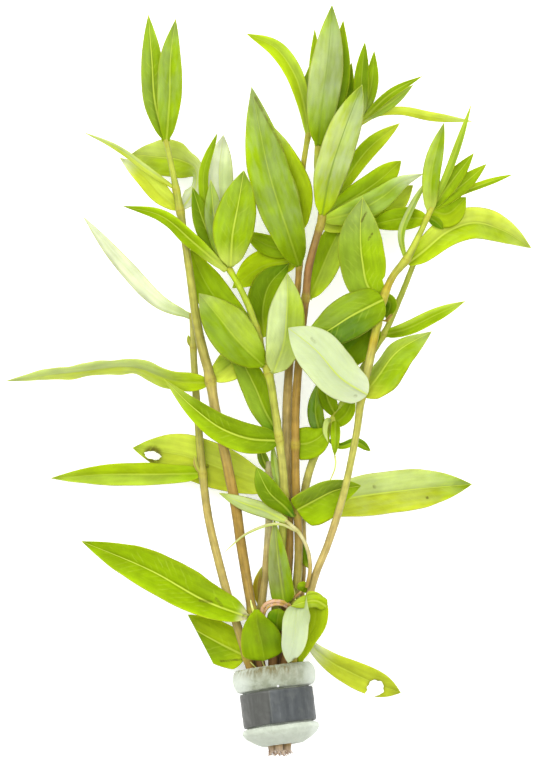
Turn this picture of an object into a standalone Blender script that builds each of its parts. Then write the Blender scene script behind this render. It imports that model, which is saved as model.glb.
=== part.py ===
"""A bunch of nesaea, a stem plant for aquariums, lying on its side.

Eight cut stems are held together at the base by a foam wrap, and a wound lead strip grips the wrap.
stem_i branches off stem_f, and the side shoot grows low down on stem_h. Larger leaves are pieces of
their own, just clear of their stem, and small ones are one piece with it.
The surface that the bunch lies on is z = 0. Seen from above, +Y runs from the cut ends to the leaf
tips and +X to the right. The origin is the middle of the lead strip's flattened underside.
Lengths are in millimetres and angles in degrees, until a mesh is made of them in metres.
"""

import math
from typing import NamedTuple

import bmesh
import bpy
import numpy as np

MM = 0.001
GAP = 0.3

COLLAR_TURN = 7.5
COLLAR_SKEW = 0.06
COLLAR_SIDES = 32
STRIP_RADIUS = 11.0
STRIP_THICKNESS = 0.7
STRIP_WIDTH = 10.2
STRIP_FLAT = 0.5
STRIP_OVERLAP = 14.0
STRIP_START = 88.0
STRIP_STATIONS = COLLAR_SIDES + 3
AXIS_HEIGHT = STRIP_RADIUS - STRIP_FLAT
FOAM_FLOOR = 0.15

STEM_SIDES = 8
STEM_EXTRA_RINGS = 3
TWIG_STATIONS = 5
LEAF_THICKNESS = 0.7
TIP_THICKNESS = 0.25
LEAF_STATIONS = 9
STATIONS_A_POINT = 2
LEAF_GAP = GAP + 0.15
FOOT_REACH = 0.4
FOOT_TRIES = 81
STEM_SAMPLES = 500
DIRECTION_STEP = 0.002
BITE_SIDES = 14
CUTTER_BOTTOM = -1.0
CUTTER_TOP = 2 * AXIS_HEIGHT


class Leaf(NamedTuple):
    """A blade along its midrib, whose points are x, y, z and the blade's roll about the rib."""

    stem: str
    width: float
    fold: float
    rib: list
    base: float = 0.35
    belly: float = 0.42
    blunt: float = 1.25


# How far each ring of the foam's outside lies along the collar's axis, and its radius
FOAM_OUTSIDE = [
    (-11.3, 6.3), (-10.2, 8.3), (-8.6, 10.6), (-6.9, 11.7), (-5.7, 11.2), (-5.4, 9.9),
    (5.4, 9.9), (5.8, 11.6), (7.4, 12.3), (9.6, 12.5), (11.4, 12.1), (12.4, 11.3),
]
# The same places for the bore, with its half width, its half height and its lift off the axis
FOAM_BORE = [
    (-11.3, 4.9, 3.7, 1.7), (-3.0, 8.6, 5.0, 1.6), (12.4, 10.1, 5.9, 1.7),
]

# Each stem's axis from the cut end up: x, y, z and radius
STEMS = {
    "stem_a": [
        (-5.9, -1.2, 13.6, 1.25), (-8.4, 12.0, 13.9, 1.35), (-11.4, 22.0, 14.2, 1.35),
        (-14.6, 32.0, 14.0, 1.3), (-17.6, 43.0, 13.5, 1.3), (-20.9, 57.0, 13.0, 1.25),
        (-22.9, 73.0, 12.5, 1.2), (-24.3, 90.0, 12.0, 1.15), (-25.2, 103.0, 11.5, 1.05),
        (-25.8, 118.5, 11.0, 0.8),
    ],
    "stem_b": [
        (-1.6, -12.9, 12.2, 1.25), (-3.2, 0.0, 13.8, 1.4), (-5.0, 12.0, 13.9, 1.45),
        (-6.4, 20.0, 14.4, 1.45), (-7.9, 30.0, 15.3, 1.45), (-9.6, 40.0, 16.3, 1.5),
        (-11.2, 50.0, 17.4, 1.55), (-12.6, 60.0, 18.4, 1.6), (-14.6, 70.0, 19.2, 1.55),
        (-16.7, 80.0, 20.0, 1.5), (-18.9, 90.0, 20.8, 1.5), (-20.6, 100.0, 21.4, 1.5),
        (-23.2, 110.0, 22.0, 1.45), (-25.0, 120.0, 22.4, 1.3), (-26.4, 130.0, 22.8, 1.2),
        (-27.9, 140.0, 23.0, 1.1), (-29.3, 149.0, 23.2, 1.2), (-31.4, 160.0, 23.3, 0.9),
        (-33.6, 170.5, 23.3, 0.75),
    ],
    "stem_c": [
        (-4.3, -2.0, 10.9, 1.2), (-6.7, 12.0, 10.7, 1.3), (-5.6, 22.0, 10.9, 1.3),
        (-4.7, 33.0, 11.3, 1.25), (-3.6, 42.0, 11.8, 1.2), (-2.9, 52.0, 12.3, 1.15),
        (-2.5, 62.0, 12.8, 1.15), (-2.7, 74.0, 13.0, 1.0),
    ],
    "stem_d": [
        (0.4, -13.1, 14.3, 1.25), (0.0, 0.0, 13.9, 1.35), (-1.6, 12.0, 13.9, 1.4),
        (-1.3, 20.0, 14.4, 1.4), (-0.6, 30.0, 15.3, 1.4), (0.3, 40.0, 16.4, 1.35),
        (1.2, 50.0, 17.5, 1.3), (1.8, 60.0, 18.8, 1.3), (1.6, 70.0, 20.5, 1.3),
        (0.4, 80.0, 22.5, 1.25), (-1.0, 90.0, 24.5, 1.2), (-2.6, 99.5, 26.2, 1.25),
        (-4.6, 106.0, 26.9, 1.1), (-6.0, 112.0, 27.2, 1.05), (-8.6, 120.0, 27.4, 1.0),
        (-11.4, 126.0, 27.4, 0.95), (-14.8, 132.0, 27.3, 0.9),
    ],
    "stem_e": [
        (0.8, -3.0, 10.7, 1.3), (0.1, 12.0, 10.7, 1.35), (1.2, 22.0, 11.0, 1.35),
        (2.4, 33.0, 12.0, 1.3), (3.3, 45.0, 13.2, 1.3), (3.4, 55.0, 14.2, 1.25),
        (2.9, 65.0, 15.2, 1.3), (2.6, 80.0, 16.5, 1.4), (2.7, 90.0, 17.0, 1.4),
        (3.2, 100.0, 17.2, 1.3), (4.4, 113.0, 16.8, 1.2), (6.0, 127.0, 16.3, 1.0),
        (6.6, 140.0, 16.3, 0.95), (6.9, 152.0, 17.0, 0.9), (7.5, 162.0, 18.0, 0.85),
        (9.2, 172.8, 19.0, 0.8),
    ],
    "stem_f": [
        (2.6, -12.8, 12.2, 1.25), (3.3, 0.0, 13.8, 1.35), (1.8, 12.0, 13.9, 1.4),
        (3.6, 22.0, 14.5, 1.4), (5.2, 33.0, 15.2, 1.35), (6.2, 45.0, 16.2, 1.3),
        (6.1, 55.0, 17.0, 1.3), (5.4, 65.0, 17.8, 1.3), (5.2, 78.0, 19.0, 1.25),
        (5.3, 90.0, 20.0, 1.3), (6.1, 102.0, 21.0, 1.25), (7.3, 114.0, 21.8, 1.2),
        (8.3, 123.0, 22.2, 1.15), (9.2, 132.0, 22.6, 1.2), (11.2, 140.0, 23.0, 1.15),
        (13.2, 147.0, 23.3, 1.15), (12.8, 155.0, 23.6, 0.95), (11.6, 163.0, 24.0, 0.85),
        (12.0, 169.0, 24.3, 0.8),
    ],
    "stem_g": [
        (4.9, -2.0, 10.9, 1.2), (3.5, 12.0, 10.7, 1.3), (5.6, 24.0, 11.0, 1.3),
        (6.9, 36.0, 11.6, 1.25), (7.4, 48.0, 12.3, 1.2), (7.2, 58.0, 13.0, 1.2),
        (8.4, 67.0, 13.8, 1.2), (10.8, 75.0, 14.6, 1.2), (14.4, 82.0, 15.4, 1.2),
        (18.2, 89.0, 16.2, 1.2), (23.0, 97.5, 17.0, 1.1), (27.6, 105.5, 17.3, 1.0),
        (32.2, 113.0, 17.4, 0.95), (36.6, 123.0, 17.4, 0.9), (41.4, 135.0, 17.4, 0.8),
    ],
    "stem_h": [
        (5.9, -0.4, 13.6, 1.2), (5.2, 12.5, 13.9, 1.3), (7.4, 22.0, 16.0, 1.25),
        (9.3, 33.0, 19.0, 1.2), (11.6, 41.0, 21.3, 1.15), (14.3, 47.5, 23.2, 1.15),
        (17.2, 56.0, 25.6, 1.15), (19.8, 65.0, 27.9, 1.1), (22.0, 75.0, 30.0, 1.05),
        (23.7, 84.0, 31.6, 1.1), (25.0, 94.0, 33.0, 1.25), (27.3, 104.0, 33.8, 1.3),
        (29.2, 113.0, 34.0, 1.3), (31.2, 122.0, 33.8, 1.2), (34.4, 129.5, 33.0, 1.1),
        (38.4, 134.5, 32.0, 1.15), (42.3, 142.0, 31.0, 0.9), (46.0, 150.0, 30.3, 0.7),
    ],
    "stem_i": [
        (14.8, 148.4, 21.6, 0.8), (17.6, 157.0, 20.4, 0.8), (21.2, 167.0, 19.4, 0.75),
        (25.0, 176.5, 19.0, 0.7),
    ],
    "side_shoot": [
        (8.6, 36.2, 21.8, 0.6), (9.6, 41.0, 22.4, 0.6), (9.0, 47.0, 22.4, 0.6),
        (6.4, 52.5, 21.8, 0.55), (2.2, 56.4, 21.6, 0.5),
    ],
}

# Young and small leaves that are one piece with their stem
TWIGS = {
    "stem_a": [
        Leaf("stem_a", 1.6, 0, [(-25.6, 108, 11.3, 0), (-26.6, 110, 11.6, 0), (-27.0, 112, 11.8, 0)]),
        Leaf("stem_a", 1.6, 0, [(-23.0, 70, 12.8, 0), (-24.6, 73, 13.8, 0), (-25.1, 76, 13.9, 0)]),
    ],
    "stem_b": [
        Leaf("stem_b", 2.4, 0, [(-30.6, 155.6, 23.4, 0), (-40, 162, 24.4, 20), (-47, 167.2, 23.6, 30),
                                (-59, 173, 22, 40)]),
    ],
    "stem_c": [
        Leaf("stem_c", 2.6, 0, [(-5.0, 29.5, 11.2, 0), (-6.3, 36, 11.6, 0), (-4.9, 42.5, 13.6, 0)]),
        Leaf("stem_c", 3.2, 0, [(-2.7, 71, 13.0, 0), (-4.6, 75, 13.2, 0), (-5.6, 79, 13.0, 0)]),
    ],
    "stem_d": [
        Leaf("stem_d", 6.4, 10, [(-14.4, 131.4, 27.2, 0), (-18.6, 145, 26.8, 10), (-20.2, 158.5, 26, 0)]),
        Leaf("stem_d", 6.6, 10, [(-14.6, 131.6, 27.0, 0), (-21.2, 143, 25.2, 0), (-25.7, 156.4, 24.8, 0)]),
        Leaf("stem_d", 3.0, 0, [(-14.6, 131.8, 26.8, 0), (-20.6, 146, 24, 0), (-22.3, 160, 23.2, 0),
                                (-18.1, 172.7, 22, 0)], 0.35, 0.6, 1.8),
        Leaf("stem_d", 2.4, 0, [(0.9, 63.5, 19.3, 0), (-0.9, 72, 20.4, 0), (-1.7, 80.2, 21.2, 0)]),
    ],
    "stem_e": [
        Leaf("stem_e", 3.8, 0, [(9.0, 171.6, 18.9, 0), (8.4, 182, 17.8, 0), (9.9, 194.0, 16.2, 0)]),
        Leaf("stem_e", 6.5, 0, [(6.5, 137.0, 16.3, 0), (-2.5, 138.6, 15.6, 0), (-10.3, 143, 15, 0)]),
    ],
    "stem_f": [
        Leaf("stem_f", 4.8, 0, [(11.9, 168.0, 24.2, 0), (11.4, 186, 21.2, 0), (11.0, 204.0, 18, 0)]),
        Leaf("stem_f", 7.0, 0, [(12.0, 168.2, 24.2, 0), (17.6, 186, 21.6, 0), (19.6, 206.6, 18.4, 0)]),
        Leaf("stem_f", 7.0, 0, [(12.0, 167.4, 24.1, 0), (18.6, 180, 18.4, 0), (22.2, 193.8, 15, 0)]),
    ],
    "stem_g": [
        Leaf("stem_g", 5.0, 0, [(13.2, 80, 15.2, 0), (11.2, 89, 18.2, 0), (12.0, 98.0, 19.2, 0)]),
        Leaf("stem_g", 5.2, 0, [(17.4, 87.6, 16, 0), (14.8, 93, 20, 0), (13.6, 100, 22, 0)]),
        Leaf("stem_g", 4.8, 0, [(15.6, 84.4, 15.8, 0), (20.3, 88.2, 18.4, 0), (22.9, 93.9, 19.6, 0)]),
        Leaf("stem_g", 1.7, 0, [(16.4, 85.8, 15.9, 0), (14.8, 86.2, 18.6, 0), (14.1, 83.2, 19.4, 0),
                                (15.0, 79.6, 19.2, 0)]),
        Leaf("stem_g", 3.0, 0, [(17.2, 87.2, 16.2, 0), (17.2, 82.6, 19.2, 0), (17.0, 75.4, 19.4, 0)]),
        Leaf("stem_g", 2.6, 0, [(14.0, 81.2, 15.3, 0), (18.6, 78.6, 16.6, 0), (23.6, 79.8, 17.4, 0),
                                (27.9, 77.0, 17, 0)], 0.2, 0.75),
    ],
    "stem_h": [
        Leaf("stem_h", 2.4, 0, [(38.2, 134.2, 31.9, 0), (36.8, 141, 31.2, 20), (40.4, 151, 30, 20),
                                (45.6, 159.6, 28.4, 20)]),
        Leaf("stem_h", 4.2, 0, [(31.6, 123.8, 33.2, 0), (33.6, 121, 30.6, 0), (32.2, 116.8, 28.6, 0)],
             0.6),
        Leaf("stem_h", 5.5, 5, [(45.4, 148.6, 30.4, 0), (46.0, 161, 33.0, 0), (49.7, 175.6, 32.0, 0)],
             0.5),
        Leaf("stem_h", 2.6, 0, [(45.8, 149.6, 30.3, 0), (47.3, 155, 29.6, 0), (47.8, 160.4, 29, 0)]),
        Leaf("stem_h", 2.4, 0, [(45.8, 149.6, 30.3, 0), (51, 161, 31.4, 0), (54.4, 170.4, 31.6, 0),
                                (58, 181.4, 30.4, 0)]),
        Leaf("stem_h", 5.0, 0, [(45.9, 149.7, 30.2, 0), (53, 159.2, 29.4, 0), (58.7, 166.4, 28, 0)]),
        Leaf("stem_h", 5.0, 0, [(45.9, 149.6, 30.1, 0), (55.4, 157, 27.6, 0), (62.6, 163.2, 26, 0)]),
        Leaf("stem_h", 2.2, 0, [(45.8, 149.4, 30.0, 0), (55, 154.6, 26.2, 0), (62, 157.3, 24.6, 0),
                                (70.7, 160.1, 23, 0)], 0.35, 0.6),
        Leaf("stem_h", 8.6, 5, [(45.7, 149.0, 30.0, 0), (50.6, 148.2, 26, 0), (56.4, 153.2, 23, 0)]),
        Leaf("stem_h", 3.0, 0, [(44.8, 147.2, 30.3, 0), (47.4, 145.6, 28.8, 0), (49.6, 143.4, 28, 0)]),
    ],
    "stem_i": [
        Leaf("stem_i", 4.6, 0, [(24.8, 175.8, 19, 0), (25.0, 188, 20.2, 0), (26.1, 200, 19.4, 0)]),
        Leaf("stem_i", 4.2, 0, [(24.8, 175.8, 19, 0), (28.0, 187, 18.2, 0), (28.9, 197.4, 17, 0)]),
        Leaf("stem_i", 2.8, 0, [(24.9, 176.0, 19, 0), (34, 184.4, 21.6, 0), (43.6, 189.7, 20, 0)]),
        Leaf("stem_i", 3.4, 0, [(24.9, 176.0, 19, 0), (33.6, 181.4, 19.4, 0), (40.8, 187.1, 18, 0)]),
        Leaf("stem_i", 2.9, 0, [(24.4, 174.8, 19, 0), (29.6, 178.2, 17.8, 0), (36, 179.2, 17, 0),
                                (46, 177.5, 15.4, 0), (58.8, 176, 13, 0)], 0.3, 0.55),
        Leaf("stem_i", 5.5, 0, [(15.2, 149.8, 21.2, 0), (19.4, 157, 17.2, 0), (27, 167.6, 16.6, 0),
                                (36.7, 175.6, 15.6, 0)], 0.3, 0.6),
    ],
    "side_shoot": [
        Leaf("side_shoot", 4.6, 0, [(2.6, 56.1, 21.6, 0), (-3.6, 59.1, 21.6, 0), (-10.5, 61.5, 21.4, 0),
                                    (-17.9, 64.6, 20.6, 0)]),
        Leaf("side_shoot", 0.9, 0, [(6.2, 52.7, 21.8, 0), (0.6, 55.2, 22.6, 0), (-8.4, 52.9, 23, 0),
                                    (-17.3, 45.7, 22, 0)], 0.8, 0.3),
    ],
}

# The larger leaves, each a piece of its own
LEAVES = {
    "leaf_a1": Leaf("stem_a", 12.6, 0, [(-9.6, 15.4, 12.8, 0), (-16.2, 18.5, 8.8, 0),
                                        (-22.4, 21.8, 6.0, 0), (-32.0, 27.6, 3.2, 0)], 0.75, 0.35),
    "leaf_a2": Leaf("stem_a", 7.2, 15, [(-23.0, 70.4, 12.6, 0), (-34, 70.0, 10.4, -10),
                                        (-52, 70.0, 5.4, 10), (-68.8, 68.8, 0.05, 15)], 0.6),
    "leaf_a3": Leaf("stem_a", 5.0, 0, [(-26.0, 117.4, 11.0, 0), (-35, 121.5, 10.6, 0),
                                       (-45, 131.4, 9.0, 0), (-58.9, 147.9, 6.0, 0)]),
    "leaf_b1": Leaf("stem_b", 13.4, 20, [(-9.2, 27.2, 17.4, -22), (-20, 31.2, 17.0, -18),
                                         (-38, 41.0, 10.0, -4), (-59.4, 49.9, 0.05, 0)], 0.45, 0.38),
    "leaf_b2": Leaf("stem_b", 9.4, 0, [(-20.4, 97.6, 21.0, 0), (-31, 98.2, 19.0, 40),
                                       (-43, 102.2, 15.0, 58), (-60, 101.0, 8.6, 60),
                                       (-72, 99.6, 4.2, 52), (-82.4, 98.0, 0.05, 50)], 0.5, 0.4),
    "leaf_b3": Leaf("stem_b", 9.5, 0, [(-20.2, 98.8, 20.8, 0), (-15, 102.2, 18.6, 0),
                                       (-9.6, 107.4, 17.6, 0), (-5.4, 114, 17.0, 0)]),
    "leaf_b4": Leaf("stem_b", 6.4, 0, [(-29.4, 149.4, 22.8, 0), (-34.6, 153.6, 21.8, 0),
                                       (-40.2, 159.6, 20.4, 0), (-47.6, 165.2, 19.0, 0)]),
    "leaf_b5": Leaf("stem_b", 11.6, 0, [(-29.2, 149.4, 22.4, 0), (-26.2, 153.2, 20.6, 30),
                                        (-24.2, 158.2, 17.2, 60), (-25.2, 162.4, 14.4, 66),
                                        (-29.0, 164.4, 11.8, 30), (-36, 165.4, 7.0, 0),
                                        (-44.4, 166.4, 0.05, 0)], 0.2, 0.6),
    "leaf_b6": Leaf("stem_b", 7.2, 10, [(-33.7, 170.0, 23.0, 0), (-36.8, 181, 21.8, 0),
                                        (-37.8, 194, 20.6, 0), (-38.9, 208.2, 18.4, 0)]),
    "leaf_b7": Leaf("stem_b", 7.6, 10, [(-33.4, 170.0, 23.6, 0), (-32.5, 183, 25.2, 0),
                                        (-32.1, 196, 24.6, 0), (-30.6, 206.8, 23.0, 0)]),
    "leaf_c1": Leaf("stem_c", 13.5, 0, [(-2.4, 66.0, 12.6, 0), (-14, 70.6, 10.6, 0),
                                        (-28, 75.6, 8.4, 0), (-43.9, 78.0, 4.6, 0)], 0.35, 0.45, 1.6),
    "leaf_d1": Leaf("stem_d", 9.2, 8, [(0.2, 80.2, 22.8, 0), (-9, 80.9, 24.4, 0),
                                       (-17, 83.9, 24.9, 0), (-25, 89.8, 24.8, 0),
                                       (-34.2, 98.7, 23.6, 0)], 0.6, 0.25, 1.05),
    "leaf_d2": Leaf("stem_d", 8.5, 8, [(0.0, 82.4, 21.8, 0), (-3.6, 88.6, 20.8, 0),
                                       (-7.2, 97, 20.6, 0), (-11.8, 105, 20.0, 0),
                                       (-17.2, 110, 19.4, 0)], 0.5, 0.4),
    "leaf_d3": Leaf("stem_d", 14.0, 10, [(-4.4, 102.6, 28.4, -10), (-12.2, 110.2, 29.8, -10),
                                         (-17.8, 117.2, 29.0, -10), (-23.7, 124.4, 26.8, -5)], 0.25),
    "leaf_d4": Leaf("stem_d", 11.7, 10, [(-1.2, 100.8, 28.2, 0), (1.6, 109, 29.8, 0),
                                         (2.6, 119, 30.6, 0), (2.8, 130.5, 29.6, 0)], 0.45),
    "leaf_d5": Leaf("stem_d", 10.5, 5, [(-7.8, 113.6, 25.6, 0), (-13.4, 117.6, 21.2, 0),
                                        (-18.6, 122.8, 18.0, 0), (-22.8, 129.6, 16.0, 0),
                                        (-26.3, 138.2, 14.6, 0)], 0.35, 0.5),
    "leaf_d6": Leaf("stem_d", 10.5, 5, [(-4.0, 111.4, 26.2, 0), (-4.6, 119, 21.4, 0),
                                        (-2.8, 126.5, 18.6, 0), (3.3, 133.4, 16.6, 0)], 0.35, 0.5),
    "leaf_d7": Leaf("stem_d", 12.6, 10, [(-14.2, 132.4, 29.0, 0), (-13.6, 142, 31.0, 0),
                                         (-11.9, 151, 31.0, 0), (-10.2, 161.2, 29.4, 0)]),
    "leaf_d8": Leaf("stem_d", 5.0, 0, [(-15.6, 131.2, 28.0, 0), (-25, 139.4, 28.6, 20),
                                       (-35, 147.6, 26.6, 30), (-46.9, 150.6, 24.6, 30)]),
    "leaf_d9": Leaf("stem_d", 8.6, 5, [(-14.4, 133.4, 25.4, 0), (-16.4, 147, 20.2, 0),
                                       (-17.6, 160, 19.4, 0), (-16.4, 172, 18.4, 0)], 0.35, 0.5, 1.9),
    "leaf_e1": Leaf("stem_e", 10.0, 5, [(6.0, 134.4, 15.4, 0), (-4, 132.8, 13.4, 0),
                                        (-13.8, 126, 12.0, 0)]),
    "leaf_e2": Leaf("stem_e", 13.0, 8, [(6.3, 132.6, 17.2, 0), (3.2, 142, 22.6, 0),
                                        (-2.0, 158, 24.4, 0), (-8.0, 186.5, 20.6, 0)]),
    "leaf_e3": Leaf("stem_e", 9.2, 5, [(6.8, 143.0, 17.0, 0), (5.8, 155, 20.6, 0),
                                       (1.4, 165.5, 20.4, 0), (-3.0, 176, 19.6, 0)]),
    "leaf_e4": Leaf("stem_e", 5.4, 0, [(9.0, 172.2, 19.4, 0), (7.6, 181.2, 20.4, 0),
                                       (5.0, 189.8, 20.8, 0), (-0.4, 197.6, 20.0, 0),
                                       (-9.6, 202.4, 18.0, 0)], 0.3, 0.6),
    "leaf_f1": Leaf("stem_f", 14.6, 28, [(5.6, 59.6, 20.4, -28), (10.8, 62.4, 22.0, -28),
                                         (17, 65.4, 22.4, -28), (25.0, 66.8, 21.6, -20)], 0.8, 0.25),
    "leaf_f2": Leaf("stem_f", 6.6, 5, [(4.4, 57.6, 19.6, 0), (2.0, 60.4, 22.8, 0),
                                       (-2.3, 64.3, 24.0, 0), (-6.6, 72.5, 23.2, 0)], 0.2, 0.55),
    "leaf_f3": Leaf("stem_f", 7.2, 0, [(1.8, 31.2, 18.4, 0), (0.3, 42, 20.4, 0),
                                       (-1.2, 57.0, 20.4, 0)], 0.9, 0.2, 1.1),
    "leaf_f4": Leaf("stem_f", 9.8, 0, [(5.3, 79.0, 18.2, 0), (9.4, 79.6, 18.4, 0),
                                       (12.4, 81.2, 18.2, 0), (14.9, 84.2, 17.9, 0)], 0.95, 0.3),
    "leaf_f5": Leaf("stem_f", 9.6, 0, [(9.2, 122.8, 20.4, 0), (12.2, 129.6, 19.0, 0),
                                       (15.6, 137.6, 17.6, 0), (21.6, 149.2, 16.2, 0)]),
    "leaf_f6": Leaf("stem_f", 7.4, 0, [(13.2, 147.4, 22.8, 0), (22, 152.6, 22.4, 0),
                                       (30, 158.0, 21.4, 0), (37, 164.2, 20.0, 0)], 0.3, 0.5, 2.2),
    "leaf_f7": Leaf("stem_f", 7.4, 0, [(13.2, 146.2, 23.2, 0), (22, 148.4, 25.6, 0),
                                       (31, 153.0, 25.6, 0), (37, 157.6, 24.8, 0),
                                       (43.6, 160.2, 24.0, 0)], 0.35, 0.4, 1.1),
    "leaf_f8": Leaf("stem_f", 8.4, 0, [(13.0, 144.4, 22.4, 0), (16.6, 144.8, 20.4, 0),
                                       (24, 146.8, 19.4, 0), (32, 150.2, 18.4, 0),
                                       (40.6, 156.9, 17.0, 0)], 0.35, 0.6, 1.5),
    "leaf_f9": Leaf("stem_f", 10.3, 10, [(13.2, 147.8, 24.4, 0), (15.6, 160, 29.0, 0),
                                         (19.3, 171.6, 31.2, 0), (25.2, 186.8, 31.4, 0)], 0.35, 0.42, 1.7),
    "leaf_f10": Leaf("stem_f", 10.2, 10, [(12.0, 168.6, 25.0, 0), (13.3, 182, 27.4, 0),
                                          (15.2, 197, 26.4, 0), (16.2, 211.0, 23.4, 0)]),
    "leaf_g1": Leaf("stem_g", 12.9, 8, [(7.3, 59.4, 12.6, 0), (20, 62.6, 11.6, 0),
                                        (38, 65.2, 7.6, 0), (58.6, 67.0, 0.05, 0)], 0.4, 0.45, 1.6),
    "leaf_g2": Leaf("stem_g", 4.5, 0, [(32.0, 112.0, 17.6, 0), (38, 113.6, 18.4, 0),
                                       (47, 117.8, 15.6, 0), (56.5, 122.2, 12.0, 0)], 0.6),
    "leaf_h1": Leaf("stem_h", 8.6, 15, [(7.4, 21.6, 14.6, 0), (12, 16.8, 13.0, 0),
                                        (16.4, 13.4, 11.0, 0), (22, 10.4, 8.0, 0),
                                        (28, 7.6, 4.6, 0), (37.1, 4.1, 0.05, 0)], 0.15, 0.68),
    "leaf_h2": Leaf("stem_h", 8.0, 0, [(6.4, 13.6, 15.4, 0), (8.8, 20.4, 18.4, 0),
                                       (11.2, 26.6, 20.4, 0), (11.0, 30.4, 21.8, 0),
                                       (8.6, 32.0, 23.6, 40), (6.4, 30.2, 25.4, 130),
                                       (5.5, 26.8, 26.0, 178), (4.9, 21, 25.4, 180),
                                       (3.0, 13.6, 23.8, 180)], 0.25, 0.5, 4.0),
    "leaf_h3": Leaf("stem_h", 14.0, 8, [(26.6, 94.0, 35.0, 180), (19, 98.8, 38.6, 180),
                                        (11.2, 107.4, 40.6, 180), (3.0, 114, 40.0, 180)],
                    0.55, 0.45, 1.8),
    "leaf_h4": Leaf("stem_h", 12.6, -30, [(25.4, 93.6, 32.2, 20), (29.6, 99.0, 31.0, 30),
                                          (35, 106.2, 30.0, 30), (46.1, 113.0, 27.0, 20)],
                    0.5, 0.35),
    "leaf_h5": Leaf("stem_h", 14.0, 5, [(31.4, 122.4, 32.2, 0), (27.4, 125.6, 30.2, 0),
                                        (25.2, 134, 30.0, 0), (24.6, 143, 30.4, 0),
                                        (25.3, 153.1, 29.6, 0)], 0.45, 0.45),
    "leaf_h6": Leaf("stem_h", 13.0, 5, [(31.4, 122.4, 35.4, 0), (28.6, 121.0, 36.0, 0),
                                        (22, 117.6, 36.0, 0), (15, 113.2, 34.6, 0),
                                        (6.5, 108.8, 32.6, 0)], 0.7, 0.35),
    "leaf_h7": Leaf("stem_h", 12.0, 5, [(29.6, 115.6, 32.6, 0), (25.4, 112.0, 28.0, 0),
                                        (20, 106.4, 26.6, 0), (14.4, 100.6, 26.0, 0)], 0.5),
    "leaf_h8": Leaf("stem_h", 9.8, 10, [(38.8, 133.2, 30.4, 0), (43.6, 137.0, 28.6, 0),
                                        (49.8, 142.2, 26.0, 0), (58, 145.5, 19.6, 0),
                                        (67, 143.6, 10.2, 0), (76.5, 138.1, 0.05, 0)], 0.5, 0.45),
    "leaf_h9": Leaf("stem_h", 7.0, 0, [(44.6, 146.8, 30.0, 0), (36, 146.6, 25.4, 0),
                                        (27, 144.6, 22.4, 0)], 0.4),
    "leaf_base": Leaf("stem_b", 12.6, 0, [(-6.5, 29.4, 17.6, 0), (-6.2, 25.2, 20.3, 0),
                                          (-5.0, 20.0, 21.8, 0), (-4.0, 14.2, 21.0, 0)],
                      0.15, 0.72, 2.4),
}

# Holes eaten through a blade: the middle's x and y, two radii and the turn of the first
BITES = {
    "leaf_c1": [(-37.7, 75.7, 2.5, 1.2, -12)],
    "leaf_h1": [(29.4, 5.7, 2.5, 2.4, 0), (27.3, 4.0, 1.4, 1.0, 60)],
}
# Where a blade has broken off: corners of the piece that is gone
BREAKS = {
    "leaf_a1": [(-28.9, 31.0), (-20.4, 14.9), (-17.0, 8.0), (-38.0, 8.0), (-38.0, 36.0)],
}

# Base colour, roughness and metallic value of each finish
FINISHES = {
    "green leaf": ((0.36, 0.52, 0.02), 0.4, 0.0),
    "dark leaf": ((0.16, 0.30, 0.02), 0.4, 0.0),
    "pale leaf": ((0.62, 0.76, 0.38), 0.45, 0.0),
    "brown stem": ((0.45, 0.28, 0.11), 0.5, 0.0),
    "green stem": ((0.52, 0.50, 0.06), 0.5, 0.0),
    "foam": ((0.58, 0.66, 0.60), 0.9, 0.0),
    "lead": ((0.12, 0.13, 0.14), 0.6, 0.6),
}
GREEN_STEMS = ["stem_d", "stem_i", "side_shoot"]
PALE_LEAVES = ["leaf_a3", "leaf_d4", "leaf_d9", "leaf_h3"]
DARK_LEAVES = ["leaf_b3", "leaf_d2", "leaf_d5", "leaf_d6", "leaf_f2", "leaf_f5", "leaf_h7", "leaf_h9"]
SMOOTH_BELOW = 50.0


def spline(points, at):
    """Values of a smooth curve through the points, at fractions of the way along it."""
    points = np.asarray(points, float)
    steps = np.linalg.norm(np.diff(points[:, :3], axis=0), axis=1)
    knots = np.concatenate([[0.0], np.cumsum(steps)]) / steps.sum()
    slopes = np.gradient(points, knots, axis=0)
    at = np.clip(np.atleast_1d(at), 0.0, 1.0)
    low = np.clip(np.searchsorted(knots, at, side="right") - 1, 0, len(points) - 2)
    span = (knots[low + 1] - knots[low])[:, None]
    u = (at - knots[low])[:, None] / span
    return (
        points[low] * (1 + 2 * u) * (1 - u) ** 2
        + slopes[low] * span * u * (1 - u) ** 2
        + points[low + 1] * u**2 * (3 - 2 * u)
        + slopes[low + 1] * span * u**2 * (u - 1)
    )


def unit(vectors):
    """The vectors at length one."""
    return vectors / np.linalg.norm(vectors, axis=-1, keepdims=True)


def directions(points, at):
    """Along the curve, to its right as seen from above, and up out of those two."""
    ahead = spline(points, np.minimum(at + DIRECTION_STEP, 1.0))[:, :3]
    along = unit(ahead - spline(points, np.maximum(at - DIRECTION_STEP, 0.0))[:, :3])
    right = unit(np.cross(along, [0.0, 0.0, 1.0]))
    return along, right, np.cross(right, along)


def half_width(leaf, at):
    """Half of the blade's width, from a narrow base over the belly to a sharp tip."""
    rise = leaf.base + (1 - leaf.base) * np.sin(np.clip(at / leaf.belly, 0, 1) * math.pi / 2)
    fall = np.clip((at - leaf.belly) / (1 - leaf.belly), 0, 1)
    return leaf.width / 2 * rise * np.cos(fall**leaf.blunt * math.pi / 2)


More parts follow.
